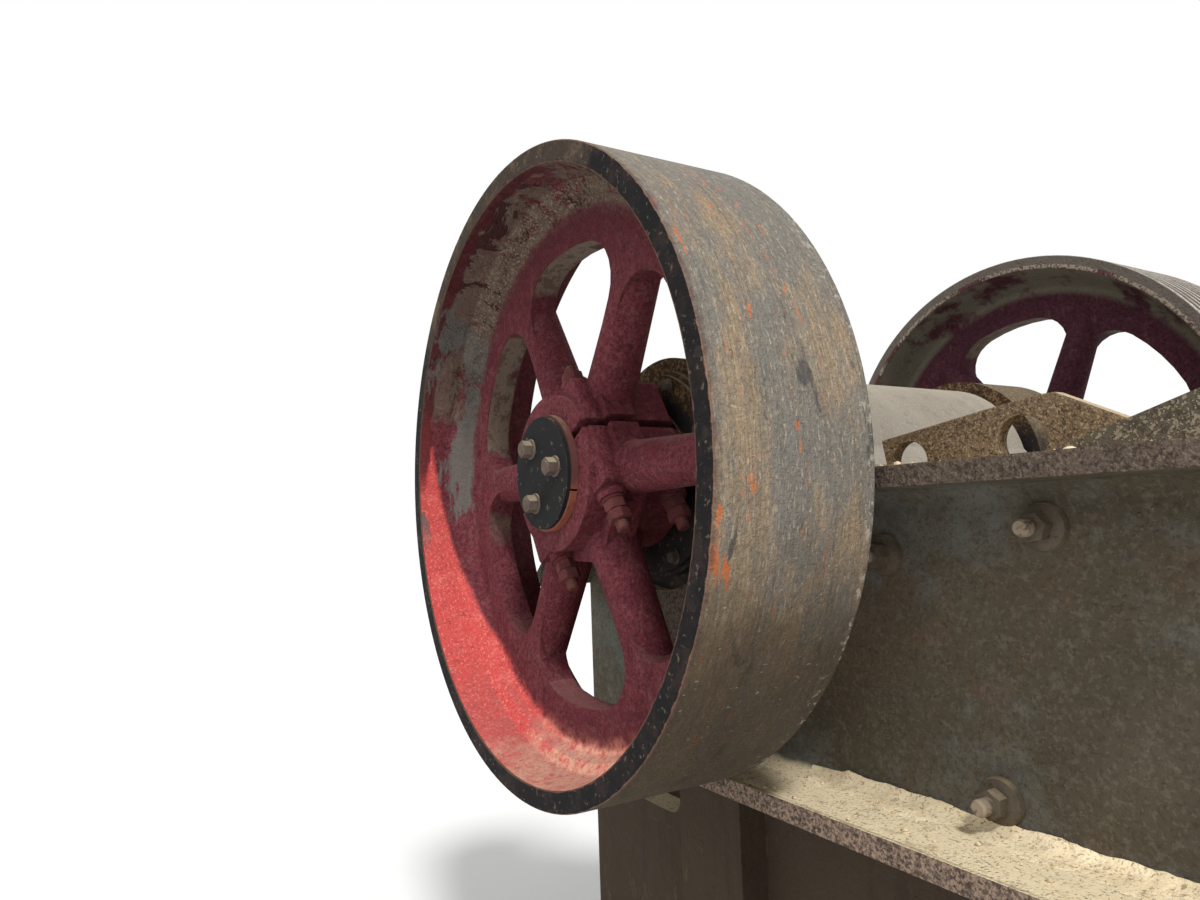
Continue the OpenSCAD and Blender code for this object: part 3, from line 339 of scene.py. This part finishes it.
def wall_finish(name):
    """Olive grey paint on a rough casting, blotched, streaked and dusty."""
    s = Shade(name, srgb(82, 75, 62), 0.9, 0.006)
    s.coat(s.patch(1.3, 0.42, 0.6, 6), srgb(96, 88, 74), 0.85)
    s.coat(s.patch(2.2, 0.48, 0.62, 10, 0.76), srgb(104, 105, 99), 0.8)
    s.coat(s.patch(1.0, 0.52, 0.66, 10, 0.76, s.stretched(3, 3, 3, 4.0)), srgb(98, 79, 61), 0.65)
    s.coat(s.patch(9, 0.5, 0.66, 9, 0.76), srgb(72, 65, 54), 0.45)
    s.coat(s.patch(1.0, 0.52, 0.72, 7, 0.7, s.stretched(14, 14, 2.2)), srgb(68, 62, 52), 0.35)
    s.coat(s.patch(34, 0.56, 0.64, 9, 0.75), srgb(118, 113, 102), 0.28)
    s.coat(s.both(s.pits(95, 0.36), s.patch(4, 0.5, 0.62, 6)), srgb(120, 112, 97), 0.4, lift=0.0022)
    s.coat(s.patch(60, 0.5, 0.62, 9, 0.8), srgb(66, 60, 50), 0.4)
    s.coat(s.patch(90, 0.54, 0.62, 7, 0.76), srgb(116, 108, 94), 0.35)
    s.coat(s.patch(110, 0.57, 0.67, 3), srgb(60, 54, 45), 0.5)

    # below the lower flange the wall is painted darker and browner as shade under the flange, with drips down it
    outside = s.band(s.math("ABSOLUTE", s.y), WALL_Y - 0.006, WALL_Y - 0.002)
    low = s.both(outside, s.band(s.ragged(s.z, 5, 0.16), LOW_FLANGE_Z + 0.01, LOW_FLANGE_Z - 0.06))
    s.coat(low, srgb(62, 50, 39), 0.9)
    s.coat(s.both(low, s.patch(1.0, 0.48, 0.66, 9, 0.76, s.stretched(16, 16, 4, 4.0))), srgb(54, 45, 36), 0.6)
    s.coat(s.both(low, s.patch(1.0, 0.58, 0.7, 9, 0.76, s.stretched(12, 12, 5, 7.0))), srgb(102, 87, 68), 0.5)

    # flange edges are bare, rough and purplish
    rims = s.both(s.band(s.math("ABSOLUTE", s.y), FLANGE_Y - 0.012, FLANGE_Y - 0.002), s.band(s.z, 0.06, 0.09))
    s.coat(rims, srgb(90, 78, 69), 0.9, 0.92)
    s.coat(s.both(rims, s.patch(8, 0.45, 0.6, 7)), srgb(96, 83, 73), 0.7)
    s.coat(s.both(rims, s.patch(150, 0.5, 0.62, 8, 0.8)), srgb(130, 114, 98), 0.5)
    s.coat(s.both(rims, s.patch(110, 0.48, 0.6, 8, 0.8)), srgb(46, 38, 34), 0.65)
    s.coat(s.both(rims, s.band(s.z, LOW_FLANGE_Z + 0.05, LOW_FLANGE_Z + 0.04), s.patch(120, 0.42, 0.6, 8, 0.8)),
           srgb(168, 142, 122), 0.7)
    # painted highlight along the flange edges, on top of their wear
    s.coat(s.both(rims, s.edge, s.patch(60, 0.42, 0.56)), srgb(168, 146, 120), 0.6)
    s.raise_by(s.both(rims, s.noise(80, 8, 0.75)), 0.008)

    # the wall's sloping end above the top flange is grainy
    gusset = s.both(s.band(s.z, TOP_FLANGE_Z + 0.004, TOP_FLANGE_Z + 0.016), s.flip(rims))
    s.coat(gusset, srgb(84, 78, 68), 0.75)
    s.coat(s.both(gusset, s.patch(170, 0.49, 0.57, 6)), srgb(150, 140, 124), 0.7, lift=0.0025)
    s.coat(s.both(gusset, s.patch(70, 0.53, 0.6, 7)), srgb(62, 54, 46), 0.65)
    s.coat(s.both(gusset, s.pits(120, 0.3)), srgb(168, 158, 142), 0.6, lift=0.003)

    # edges lighter: wear, partly a painted highlight
    s.coat(s.both(s.edge, s.patch(18, 0.4, 0.6, 6)), srgb(134, 108, 84), 0.5)
    dusty(s, srgb(248, 229, 190), lift=0.0006)
    s.grain(160, 0.0012)
    s.grain(60, 0.0016)
    s.grain(22, 0.0026, 6)
    return s.finish(specular=0.2)


def housing_finish(name):
    """Bearing housings: near black, under granular brown dust."""
    s = Shade(name, srgb(34, 31, 30), 0.7)
    s.coat(s.patch(5, 0.45, 0.6, 7), srgb(48, 42, 38), 0.8)
    s.coat(s.patch(20, 0.54, 0.66, 7), srgb(74, 62, 50), 0.5)
    s.coat(s.patch(80, 0.6, 0.68, 4), srgb(120, 104, 82), 0.4)
    dx = s.add(s.x, -SHAFT_X)
    dz = s.add(s.z, -SHAFT_Z)
    crest = s.both(s.band(s.ragged(s.math("SQRT", s.add(s.times(dx, dx), s.times(dz, dz))), 14, 0.06), 0.19, 0.21),
                   s.band(dz, 0.08, 0.18))
    s.coat(crest, srgb(74, 56, 38), 0.9, 0.97)
    s.coat(s.both(crest, s.patch(120, 0.47, 0.54, 5)), srgb(136, 108, 76), 0.8, lift=0.003)
    s.coat(s.both(crest, s.patch(60, 0.54, 0.6, 5)), srgb(38, 28, 20), 0.8)
    lying = s.band(s.ragged(s.up, 9, 0.8), 0.05, 0.6)
    s.coat(lying, srgb(118, 104, 84), 0.9, 0.97)
    s.coat(s.both(lying, s.patch(95, 0.5, 0.6, 4)), srgb(152, 136, 110), 0.65)
    s.raise_by(s.both(lying, s.noise(110, 5, 0.7)), 0.004)
    s.grain(120, 0.0012)
    s.grain(24, 0.0022)
    return s.finish(specular=0.25)


def barrel_finish(name):
    """Swing jaw casting: smooth, under pale beige dust."""
    s = Shade(name, srgb(146, 138, 125), 0.88)
    s.coat(s.patch(2.4, 0.42, 0.6, 6), srgb(158, 151, 138), 0.8)
    s.coat(s.patch(30, 0.52, 0.66, 8), srgb(126, 117, 105), 0.45)
    s.coat(s.patch(150, 0.55, 0.63, 4), srgb(176, 168, 154), 0.4)
    s.coat(s.patch(1.0, 0.56, 0.68, 6, 0.7, s.stretched(3, 40, 3)), srgb(150, 132, 112), 0.4)
    s.coat(s.both(s.edge, s.patch(14, 0.4, 0.6)), srgb(104, 82, 64), 0.7)
    dusty(s, srgb(178, 167, 148), 0.7, 1.1, 0.6, 0.0006)
    s.grain(140, 0.0006)
    s.grain(18, 0.0012)
    return s.finish(specular=0.25)


def cheek_finish(name):
    """Cast liner plates: granular brown with orange rust."""
    s = Shade(name, srgb(116, 98, 78), 0.92, 0.006)
    s.coat(s.patch(6, 0.44, 0.6, 8), srgb(134, 114, 90), 0.8)
    s.coat(s.patch(7, 0.54, 0.66, 9, 0.72), srgb(156, 104, 62), 0.5)
    s.coat(s.patch(100, 0.48, 0.6, 7, 0.78), srgb(62, 50, 39), 0.8)
    s.coat(s.pits(120, 0.3), srgb(150, 130, 102), 0.4, lift=0.002)
    s.coat(s.patch(190, 0.54, 0.64, 5), srgb(176, 156, 128), 0.5)
    s.coat(s.patch(34, 0.56, 0.66, 8, 0.74), srgb(60, 48, 38), 0.6)
    s.coat(s.both(s.edge, s.patch(50, 0.4, 0.56)), srgb(196, 172, 140), 0.75)
    dusty(s, srgb(206, 184, 152), 0.5, 0.9, 0.85, 0.001)
    s.grain(130, 0.004)
    s.grain(30, 0.005, 6)
    return s.finish(specular=0.2)


def steel_finish(name, base, rust, shine=0.55, grain=0.0008):
    """Bare machine steel, rusted in patches and dusty on top."""
    s = Shade(name, base, shine, 0.003)
    s.coat(s.patch(9, 0.44, 0.6, 8), rust, 0.7, 0.85)
    s.coat(s.patch(40, 0.54, 0.66, 6), srgb(64, 44, 34), 0.6, 0.9)
    s.coat(s.patch(1.0, 0.55, 0.7, 6, 0.7, s.stretched(10, 60, 4)), srgb(150, 138, 120), 0.4)
    s.coat(s.both(s.edge, s.patch(26, 0.4, 0.58)), srgb(172, 160, 142), 0.6, 0.45)
    dusty(s, srgb(166, 148, 116), 0.7, 1.1, 0.6, 0.0006)
    s.grain(190, grain)
    return s.finish(metallic=0.25)


def bolt_finish(name, base, rust, dust_amount=0.7, clean_end=0.0):
    """Fasteners: rusty steel caked with tan dust, the bolts' ends cleaner where clean_end is given."""
    s = Shade(name, srgb(*base), 0.88, 0.0025)
    s.coat(s.patch(35, 0.45, 0.6, 7), srgb(*[0.82 * value for value in base]), 0.75)
    s.coat(s.patch(70, 0.56, 0.67, 6), srgb(*rust), 0.5)
    s.coat(s.patch(120, 0.58, 0.68, 4), srgb(56, 47, 42), 0.6)
    # painted highlight: edges lightened as if catching the light
    s.coat(s.edge, srgb(*[min(255, 1.35 * value) for value in base]), 0.5)
    if clean_end:
        ends = s.band(s.math("ABSOLUTE", s.y), clean_end, clean_end + 0.006)
        s.coat(s.both(ends, s.patch(60, 0.36, 0.5)), srgb(162, 146, 126), 0.75)
    dusty(s, srgb(168, 152, 126), 0.5, 0.9, dust_amount, 0.0005)
    s.grain(260, 0.0006)
    return s.finish(specular=0.25)


def paint_finish(name, paint, worn, rough, dust_amount=0.4):
    """Smooth paint, scuffed, with a veil of dust."""
    s = Shade(name, paint, rough, 0.002)
    s.coat(s.patch(8, 0.46, 0.64, 8), worn, 0.5, rough + 0.1)
    s.coat(s.patch(60, 0.62, 0.7, 6), srgb(132, 122, 106), 0.4)
    s.coat(s.both(s.edge, s.patch(24, 0.4, 0.58)), srgb(136, 110, 88), 0.5)
    dusty(s, srgb(156, 140, 116), 0.5, 1.0, dust_amount, 0.0003)
    s.grain(240, 0.00035)
    return s.finish(specular=0.2)


def ring_finish(name):
    """The shaft's split ring: brown, its lower half painted orange as sunlight."""
    s = Shade(name, srgb(86, 52, 46), 0.8, 0.002)
    s.coat(s.patch(20, 0.48, 0.62, 7), srgb(66, 44, 40), 0.6)
    # painted sunlight: the lower half made lighter orange
    below = s.band(s.ragged(s.z, 20, 0.05), SHAFT_Z - 0.01, SHAFT_Z - 0.06)
    s.coat(below, srgb(150, 88, 68), 0.8)
    s.coat(s.both(below, s.patch(60, 0.54, 0.64, 6)), srgb(116, 70, 58), 0.6)
    dusty(s, srgb(156, 140, 116), 0.5, 1.0, 0.3, 0.0003)
    s.grain(240, 0.0004)
    return s.finish(specular=0.2)


def sand_finish(name):
    """Loose stone dust with coarse grains."""
    s = Shade(name, srgb(250, 232, 194), 0.98, 0.001)
    s.coat(s.patch(10, 0.45, 0.62, 7), srgb(228, 206, 168), 0.7)
    s.coat(s.patch(120, 0.58, 0.66, 3), srgb(136, 116, 92), 0.7)
    s.coat(s.pits(110, 0.36), srgb(232, 218, 190), 0.6, lift=0.0008)
    s.coat(s.patch(60, 0.54, 0.64, 8, 0.78), srgb(178, 156, 124), 0.5)
    s.grain(190, 0.0016)
    s.grain(40, 0.003, 7)
    return s.finish(specular=0.15)


def stone_finish(name):
    """Loose stones, grey to tan."""
    s = Shade(name, srgb(206, 188, 156), 0.95, 0.0005)
    s.coat(s.patch(30, 0.46, 0.54, 3), srgb(228, 212, 180), 0.8)
    s.coat(s.patch(44, 0.58, 0.62, 3), srgb(140, 124, 104), 0.8)
    s.grain(300, 0.0006)
    return s.finish(specular=0.2)


MATERIALS = {
    "flywheel": wheel_finish("flywheel_iron", False),
    "grooved_pulley": wheel_finish("pulley_iron", True),
    "frame": wall_finish("frame_iron"),
    "housing": housing_finish("housing_iron"),
    "barrel": barrel_finish("barrel_iron"),
    "cheek": cheek_finish("cheek_iron"),
    "jaw": steel_finish("jaw_steel", srgb(126, 116, 104), srgb(116, 82, 56)),
    "steel": steel_finish("worn_steel", srgb(104, 94, 84), srgb(110, 74, 50)),
    "bolt": bolt_finish("bolt_steel", (100, 88, 78), (104, 72, 54), 0.8),
    "wall_bolt": bolt_finish("wall_bolt_steel", (94, 85, 72), (104, 80, 58), 0.55, CLEAN_END),
    "red_bolt": bolt_finish("red_bolt_steel", (98, 50, 50), (112, 70, 58), 0.4),
    "spring": paint_finish("spring_red", srgb(138, 46, 42), srgb(96, 52, 40), 0.6),
    "disc": paint_finish("disc_black", srgb(24, 24, 25), srgb(34, 33, 32), 0.85, 0.06),
    "ring": ring_finish("ring_orange"),
    "sand": sand_finish("stone_dust"),
    "stone": stone_finish("loose_stone"),
}

NODE_FINISH = {
    "frame": ["near_wall", "far_wall", "front_wall", "rear_wall", "adjusting_block", "guide_ledges"],
    "housing": ["near_bearing_base", "far_bearing_base", "near_bearing_cap", "far_bearing_cap",
                "near_seal_cover", "far_seal_cover"],
    "barrel": ["pitman"],
    "cheek": ["near_cheek_plates", "far_cheek_plates", "pitman_end_rings"],
    "jaw": ["fixed_jaw_plate", "swing_jaw_plate", "fixed_jaw_wedge", "swing_jaw_wedge"],
    "steel": ["adjusting_shims", "rear_toggle_seat", "toggle_plate", "tension_rods", "spring_plates",
              "rod_nuts", "eccentric_shaft", "front_toggle_seat", "rod_pins"],
    "flywheel": ["flywheel"],
    "grooved_pulley": ["grooved_pulley"],
    "spring": ["tension_springs"],
    "disc": ["end_discs"],
    "ring": ["split_rings"],
}

for finish_name, node_names in NODE_FINISH.items():
    for node_name in node_names:
        cad = frame["nodes"][node_name]
        for material_slot in cad.material_slots:
            material_slot.material = MATERIALS[finish_name]


# Fasteners

def ring_of(bm, place, radius, height, corners, phase=0.0):
    return [bm.verts.new(place @ Vector((radius * math.cos(phase + 2 * math.pi * k / corners),
                                         radius * math.sin(phase + 2 * math.pi * k / corners), height)))
            for k in range(corners)]


def bridge(bm, low, high):
    count = len(low)
    for k in range(count):
        bm.faces.new((low[k], low[(k + 1) % count], high[(k + 1) % count], high[k]))


def turned(bm, place, profile, corners=28):
    """Solid of revolution about local Z from (radius, height) points, closed at both ends."""
    rings = [ring_of(bm, place, radius, height, corners) for radius, height in profile]
    for low, high in zip(rings, rings[1:]):
        bridge(bm, low, high)
    bm.faces.new(list(reversed(rings[0])))
    bm.faces.new(rings[-1])


def hexagon(bm, place, flats, height, turn=0.0):
    """Hexagon nut or head with chamfered corners on both sides, standing on local Z = 0."""
    corner = flats / math.sqrt(3)
    chamfer = 0.13 * corner
    rings = []
    for level, (z, chamfered) in enumerate(((0, True), (chamfer * 0.6, False),
                                            (height - chamfer * 0.6, False), (height, True))):
        points = []
        for k in range(12):
            angle = turn + math.pi * k / 6
            at_corner = k % 2 == 0
            radius = corner if at_corner else flats / 2
            if chamfered:
                radius = flats / 2 * 0.97
                angle_z = z
            else:
                angle_z = z if at_corner else (0.0004 if level == 1 else height - 0.0004)
            points.append(bm.verts.new(place @ Vector((radius * math.cos(angle),
                                                       radius * math.sin(angle), angle_z))))
        rings.append(points)
    for low, high in zip(rings, rings[1:]):
        bridge(bm, low, high)
    bm.faces.new(list(reversed(rings[0])))
    bm.faces.new(rings[-1])


def stud(bm, place, radius, start, length, pitch=0.004):
    """Threaded end with a chamfered tip."""
    profile = [(radius, start)]
    turns = max(2, int(length / pitch) - 1)
    for k in range(turns):
        z = start + (k + 0.25) * pitch
        profile += [(radius, z), (radius - pitch * 0.35, z + pitch * 0.5)]
    profile += [(radius, start + turns * pitch), (radius * 0.78, start + length)]
    turned(bm, place, profile, 20)


def piece_from(bm, name, body, material):
    mesh = bpy.data.meshes.new(name)
    bmesh.ops.recalc_face_normals(bm, faces=bm.faces)
    bm.to_mesh(mesh)
    bm.free()
    piece = bpy.data.objects.new(name, mesh)
    bpy.context.scene.collection.objects.link(piece)
    mesh.materials.append(material)
    for face in mesh.polygons:
        face.use_smooth = len(face.vertices) == 4
    mesh.set_sharp_from_angle(angle=math.radians(32))
    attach(piece, body)
    return piece


def facing(origin, direction, spin=0.0):
    """Matrix that puts local Z along direction at origin."""
    turn = Vector(direction).to_track_quat("Z", "Y").to_matrix().to_4x4()
    return Matrix.Translation(origin) @ turn @ Matrix.Rotation(spin, 4, "Z")


def on_wheel(side, phase, along, across, y):
    """Point on a wheel, along and across a direction turned by phase in the wheel's plane."""
    return Vector((SHAFT_X + along * math.cos(phase) - across * math.sin(phase), side * y,
                   SHAFT_Z + along * math.sin(phase) + across * math.cos(phase)))


def end_disc_bolts():
    """Three hexagon bolts on washers hold each end disc."""
    circle, flats, head, washer = 0.075, 0.036, 0.023, 0.024
    bm = bmesh.new()
    for side, phase in ((NEAR, 0.0), (FAR, PULLEY_PHASE)):
        for k in range(3):
            angle = math.radians(8 + 120 * k)
            place = facing(on_wheel(side, phase + angle, circle, 0, DISC_Y), (0, side, 0), 0.4 + k)
            turned(bm, place, [(washer, 0), (washer, 0.003), (washer - 0.001, 0.004)])
            raised = place @ Matrix.Translation((0, 0, 0.004))
            hexagon(bm, raised, flats, head)
            turned(bm, raised, [(0.013, head), (0.013, head + 0.0012), (0.011, head + 0.0016)], 24)
    return piece_from(bm, "end_disc_bolts", "rotor", MATERIALS["bolt"])


def clamp_bolts():
    """Four bolts across each wheel's slots, with double nuts below and heads above."""
    along, seat = 0.134, 0.158
    flats, nut, thread = 0.046, 0.024, 0.015
    depths = (0.142, 0.297)
    bm = bmesh.new()
    for side, phase in ((NEAR, SLOT_TURN), (FAR, SLOT_TURN + PULLEY_PHASE)):
        down = Vector((math.sin(phase), 0, -math.cos(phase)))
        for sign in (-1, 1):
            for depth in depths:
                y = WHEEL_Y - depth
                low = facing(on_wheel(side, phase, sign * along, -seat, y), down, 0.3 * sign)
                turned(bm, low, [(0.028, 0), (0.028, 0.003), (0.026, 0.005)])
                hexagon(bm, low @ Matrix.Translation((0, 0, 0.005)), flats, nut)
                hexagon(bm, low @ Matrix.Translation((0, 0, 0.006 + nut)), flats, nut, 0.5)
                stud(bm, low, thread, 0.006 + 2 * nut, 0.024)
                high = facing(on_wheel(side, phase, sign * along, seat, y), -down, 0.2 * sign)
                turned(bm, high, [(0.028, 0), (0.028, 0.003), (0.026, 0.005)])
                hexagon(bm, high @ Matrix.Translation((0, 0, 0.005)), flats, nut)
                stud(bm, high, thread, 0.005 + nut, 0.02)
                reach = facing(on_wheel(side, phase, sign * along, -seat, y), -down)
                turned(bm, reach, [(thread, 0.001), (thread, 2 * seat - 0.001)], 20)
    return piece_from(bm, "clamp_bolts", "rotor", MATERIALS["red_bolt"])


LINER_BOLTS = ((0.579, 1.469), (0.233, 1.417), (0.461, 0.985))


def liner_bolts():
    """Bolts that hold the cheek plates, on dished washers on both walls' outer faces."""
    bm = bmesh.new()
    for side in (NEAR, FAR):
        for k, (x, z) in enumerate(LINER_BOLTS):
            place = facing((x, side * WALL_Y, z), (0, side, 0), 0.7 * k + 0.2)
            turned(bm, place, [(0.043, -0.004), (0.043, 0.006), (0.04, 0.012), (0.03, 0.017), (0.028, 0.018)], 40)
            nut = place @ Matrix.Translation((0, 0, 0.017))
            hexagon(bm, nut, 0.046, 0.026)
            stud(bm, nut, 0.0155, 0.026, 0.03)
    return piece_from(bm, "liner_bolts", "frame", MATERIALS["wall_bolt"])


def housing_bolts():
    """Stud nuts on the bearing caps' feet."""
    top = CAP_LOW.z + CAP_SEAT
    bm = bmesh.new()
    for side in (NEAR, FAR):
        for x in (CAP_LOW.x + 0.06, CAP_HIGH.x - 0.06):
            for y in (-CAP_LOW.y - 0.075, -CAP_HIGH.y + 0.075):
                place = facing((x, side * y, top), (0, 0, 1), x * 5)
                turned(bm, place, [(0.045, 0), (0.045, 0.006), (0.043, 0.008)], 32)
                hexagon(bm, place @ Matrix.Translation((0, 0, 0.008)), 0.065, 0.034)
                hexagon(bm, place @ Matrix.Translation((0, 0, 0.043)), 0.065, 0.028, 0.4)
                stud(bm, place, 0.021, 0.071, 0.03)
    return piece_from(bm, "housing_bolts", "frame", MATERIALS["bolt"])


def cover_bolts():
    """Cap screws round the seal covers."""
    circle = (COVER_HIGH.z - COVER_LOW.z) / 2 - 0.022
    bm = bmesh.new()
    for side in (NEAR, FAR):
        for k in range(8):
            angle = math.pi / 8 + math.pi * k / 4
            point = Vector((SHAFT_X + circle * math.cos(angle), side * (-COVER_HIGH.y + 0.016),
                            SHAFT_Z + circle * math.sin(angle)))
            place = facing(point, (0, side, 0), angle)
            turned(bm, place, [(0.017, 0), (0.017, 0.002), (0.016, 0.003)], 24)
            hexagon(bm, place @ Matrix.Translation((0, 0, 0.003)), 0.024, 0.014)
    return piece_from(bm, "cover_bolts", "frame", MATERIALS["bolt"])


# Dust

def rounding_height(distance, radius):
    """Height of a fillet's surface at a distance from the wall."""
    if distance >= radius:
        return 0.0
    return radius - math.sqrt(max(0.0, radius ** 2 - (radius - max(0.0, distance)) ** 2))


def heap(bm, x0, x1, y0, y1, z, peak, seed, rounding=0.0):
    """Low ridge of dust along X with a ragged outline, highest by y0, where it lies against a wall."""
    cells_x = max(8, int(abs(x1 - x0) / 0.006))
    cells_y = 14
    rows = []
    for i in range(cells_x + 1):
        u = i / cells_x
        x = x0 + (x1 - x0) * u
        ends = min(1.0, 8 * u, 8 * (1 - u))
        row = []
        reach = 0.55 + 0.45 * noise.noise(Vector((x * 6, seed, 0))) + 0.18 * noise.noise(Vector((x * 31, seed, 2)))
        for j in range(cells_y + 1):
            v = j / cells_y
            y = y0 + (y1 - y0) * v * max(0.15, reach)
            fall = (1 - v) ** 1.4
            bumps = noise.fractal(Vector((x * 24, y * 24, seed)), 1.0, 2.0, 4)
            height = peak * fall * (0.75 + 0.5 * bumps) * max(0.05, ends) * max(0.2, reach)
            height += rounding_height(abs(y) - WALL_Y, rounding)
            row.append(bm.verts.new((x, y, z + (-0.003 if v == 1 else height))))
        rows.append(row)
    for low, high in zip(rows, rows[1:]):
        for j in range(cells_y):
            bm.faces.new((low[j], high[j], high[j + 1], low[j + 1]))
    under = [bm.verts.new((p.co.x, p.co.y, z - 0.001)) for p in (rows[0][0], rows[-1][0])]
    bm.faces.new([row[0] for row in reversed(rows)] + [under[0], under[1]])
    bm.faces.new([rows[0][j] for j in range(cells_y + 1)] + [under[0]])
    bm.faces.new([rows[-1][j] for j in range(cells_y, -1, -1)] + [under[1]])


def dust_heaps():
    """Stone dust lying in the corners of the flanges."""
    bm = bmesh.new()
    for side in (NEAR, FAR):
        heap(bm, 0.0, 1.015, side * (WALL_Y + 0.008), side * (WALL_Y + 0.13), LOW_FLANGE_Z, 0.02, 3.1 * side, 0.036)
        heap(bm, 0.585, 1.015, side * (WALL_Y + 0.001), side * (WALL_Y + 0.09), TOP_FLANGE_Z, 0.03, 7.7 * side)
    return piece_from(bm, "dust_heaps", "frame", MATERIALS["sand"])


def loose_stones():
    """Stones of 4 to 14 mm scattered on the flanges, more of them near the wall."""
    draw = random.Random(11)
    bm = bmesh.new()
    shelves = ((0.0, 1.0, LOW_FLANGE_Z, 120), (0.2, 1.0, TOP_FLANGE_Z, 70))
    for side in (NEAR, FAR):
        for x0, x1, z, count in shelves:
            for k in range(count):
                size = 0.002 + 0.005 * draw.random() ** 3
                reach = 0.04 + 0.14 * draw.random() ** 1.6
                middle = Vector((draw.uniform(x0, x1), side * (WALL_Y + reach), z + size * 0.55))
                lump = bmesh.ops.create_icosphere(bm, subdivisions=1, radius=size,
                                                  matrix=Matrix.Translation(middle))
                for vertex in lump["verts"]:
                    out = vertex.co - middle
                    vertex.co = middle + Vector((out.x * draw.uniform(0.8, 1.4), out.y * draw.uniform(0.7, 1.2),
                                                 out.z * draw.uniform(0.6, 0.95)))
    stones = piece_from(bm, "loose_stones", "frame", MATERIALS["stone"])
    for face in stones.data.polygons:
        face.use_smooth = False
    return stones


end_disc_bolts()
clamp_bolts()
liner_bolts()
housing_bolts()
cover_bolts()
dust_heaps()
loose_stones()


# Camera, floor and light

def add_camera():
    """The photograph's view: the machine there leans 5 degrees up at its feed end, and the view holds the lean."""
    data = bpy.data.cameras.new("camera")
    data.lens = 25.08
    data.sensor_width = 36
    data.sensor_fit = "HORIZONTAL"
    data.clip_start = 0.05
    data.clip_end = 100
    camera = bpy.data.objects.new("camera", data)
    bpy.context.scene.collection.objects.link(camera)
    right = Vector((0.504267, 0.862859, -0.034501))
    down = Vector((-0.091065, 0.013405, -0.995754))
    forward = Vector((-0.858732, 0.505268, 0.085336))
    turn = Matrix((right, -down, -forward)).transposed().to_4x4()
    camera.matrix_world = Matrix.Translation((1.43198, -1.89563, 1.50387)) @ turn
    bpy.context.scene.camera = camera


def add_floor():
    half = 40
    mesh = bpy.data.meshes.new("floor")
    mesh.from_pydata([(-half, -half, 0), (half, -half, 0), (half, half, 0), (-half, half, 0)], [], [(0, 1, 2, 3)])
    floor = bpy.data.objects.new("floor", mesh)
    bpy.context.scene.collection.objects.link(floor)
    material = bpy.data.materials.new("floor_white")
    material.use_nodes = True
    shader = material.node_tree.nodes["Principled BSDF"]
    shader.inputs["Base Color"].default_value = (0.88, 0.88, 0.87, 1)
    shader.inputs["Roughness"].default_value = 0.95
    shader.inputs["Specular IOR Level"].default_value = 0.1
    mesh.materials.append(material)


def add_sun(name, towards, strength, softness):
    data = bpy.data.lights.new(name, "SUN")
    data.energy = strength
    data.angle = math.radians(softness)
    sun = bpy.data.objects.new(name, data)
    bpy.context.scene.collection.objects.link(sun)
    sun.rotation_euler = Vector(towards).to_track_quat("Z", "Y").to_euler()


def add_world():
    """Even white light, seen as white by the camera and in glossy and clear surfaces."""
    world = bpy.data.worlds.new("studio")
    world.use_nodes = True
    bpy.context.scene.world = world
    nodes = world.node_tree.nodes
    links = world.node_tree.links
    path = nodes.new("ShaderNodeLightPath")
    seen = nodes.new("ShaderNodeMath")
    seen.operation = "MAXIMUM"
    seen_clear = nodes.new("ShaderNodeMath")
    seen_clear.operation = "MAXIMUM"
    links.new(path.outputs["Is Camera Ray"], seen.inputs[0])
    links.new(path.outputs["Is Glossy Ray"], seen.inputs[1])
    links.new(seen.outputs[0], seen_clear.inputs[0])
    links.new(path.outputs["Is Transmission Ray"], seen_clear.inputs[1])
    level = nodes.new("ShaderNodeMapRange")
    level.inputs["To Min"].default_value = AMBIENT
    level.inputs["To Max"].default_value = 1.0
    links.new(seen_clear.outputs[0], level.inputs["Value"])
    background = nodes["Background"]
    background.inputs["Color"].default_value = (1, 1, 1, 1)
    links.new(level.outputs["Result"], background.inputs["Strength"])


AMBIENT = 0.54
add_camera()
add_floor()
add_sun("key", (0.62, -0.22, 0.75), 2.4, 9)
add_sun("fill", (0.25, -0.9, 0.35), 0.7, 60)
add_world()
bpy.context.scene.view_settings.view_transform = "Standard"
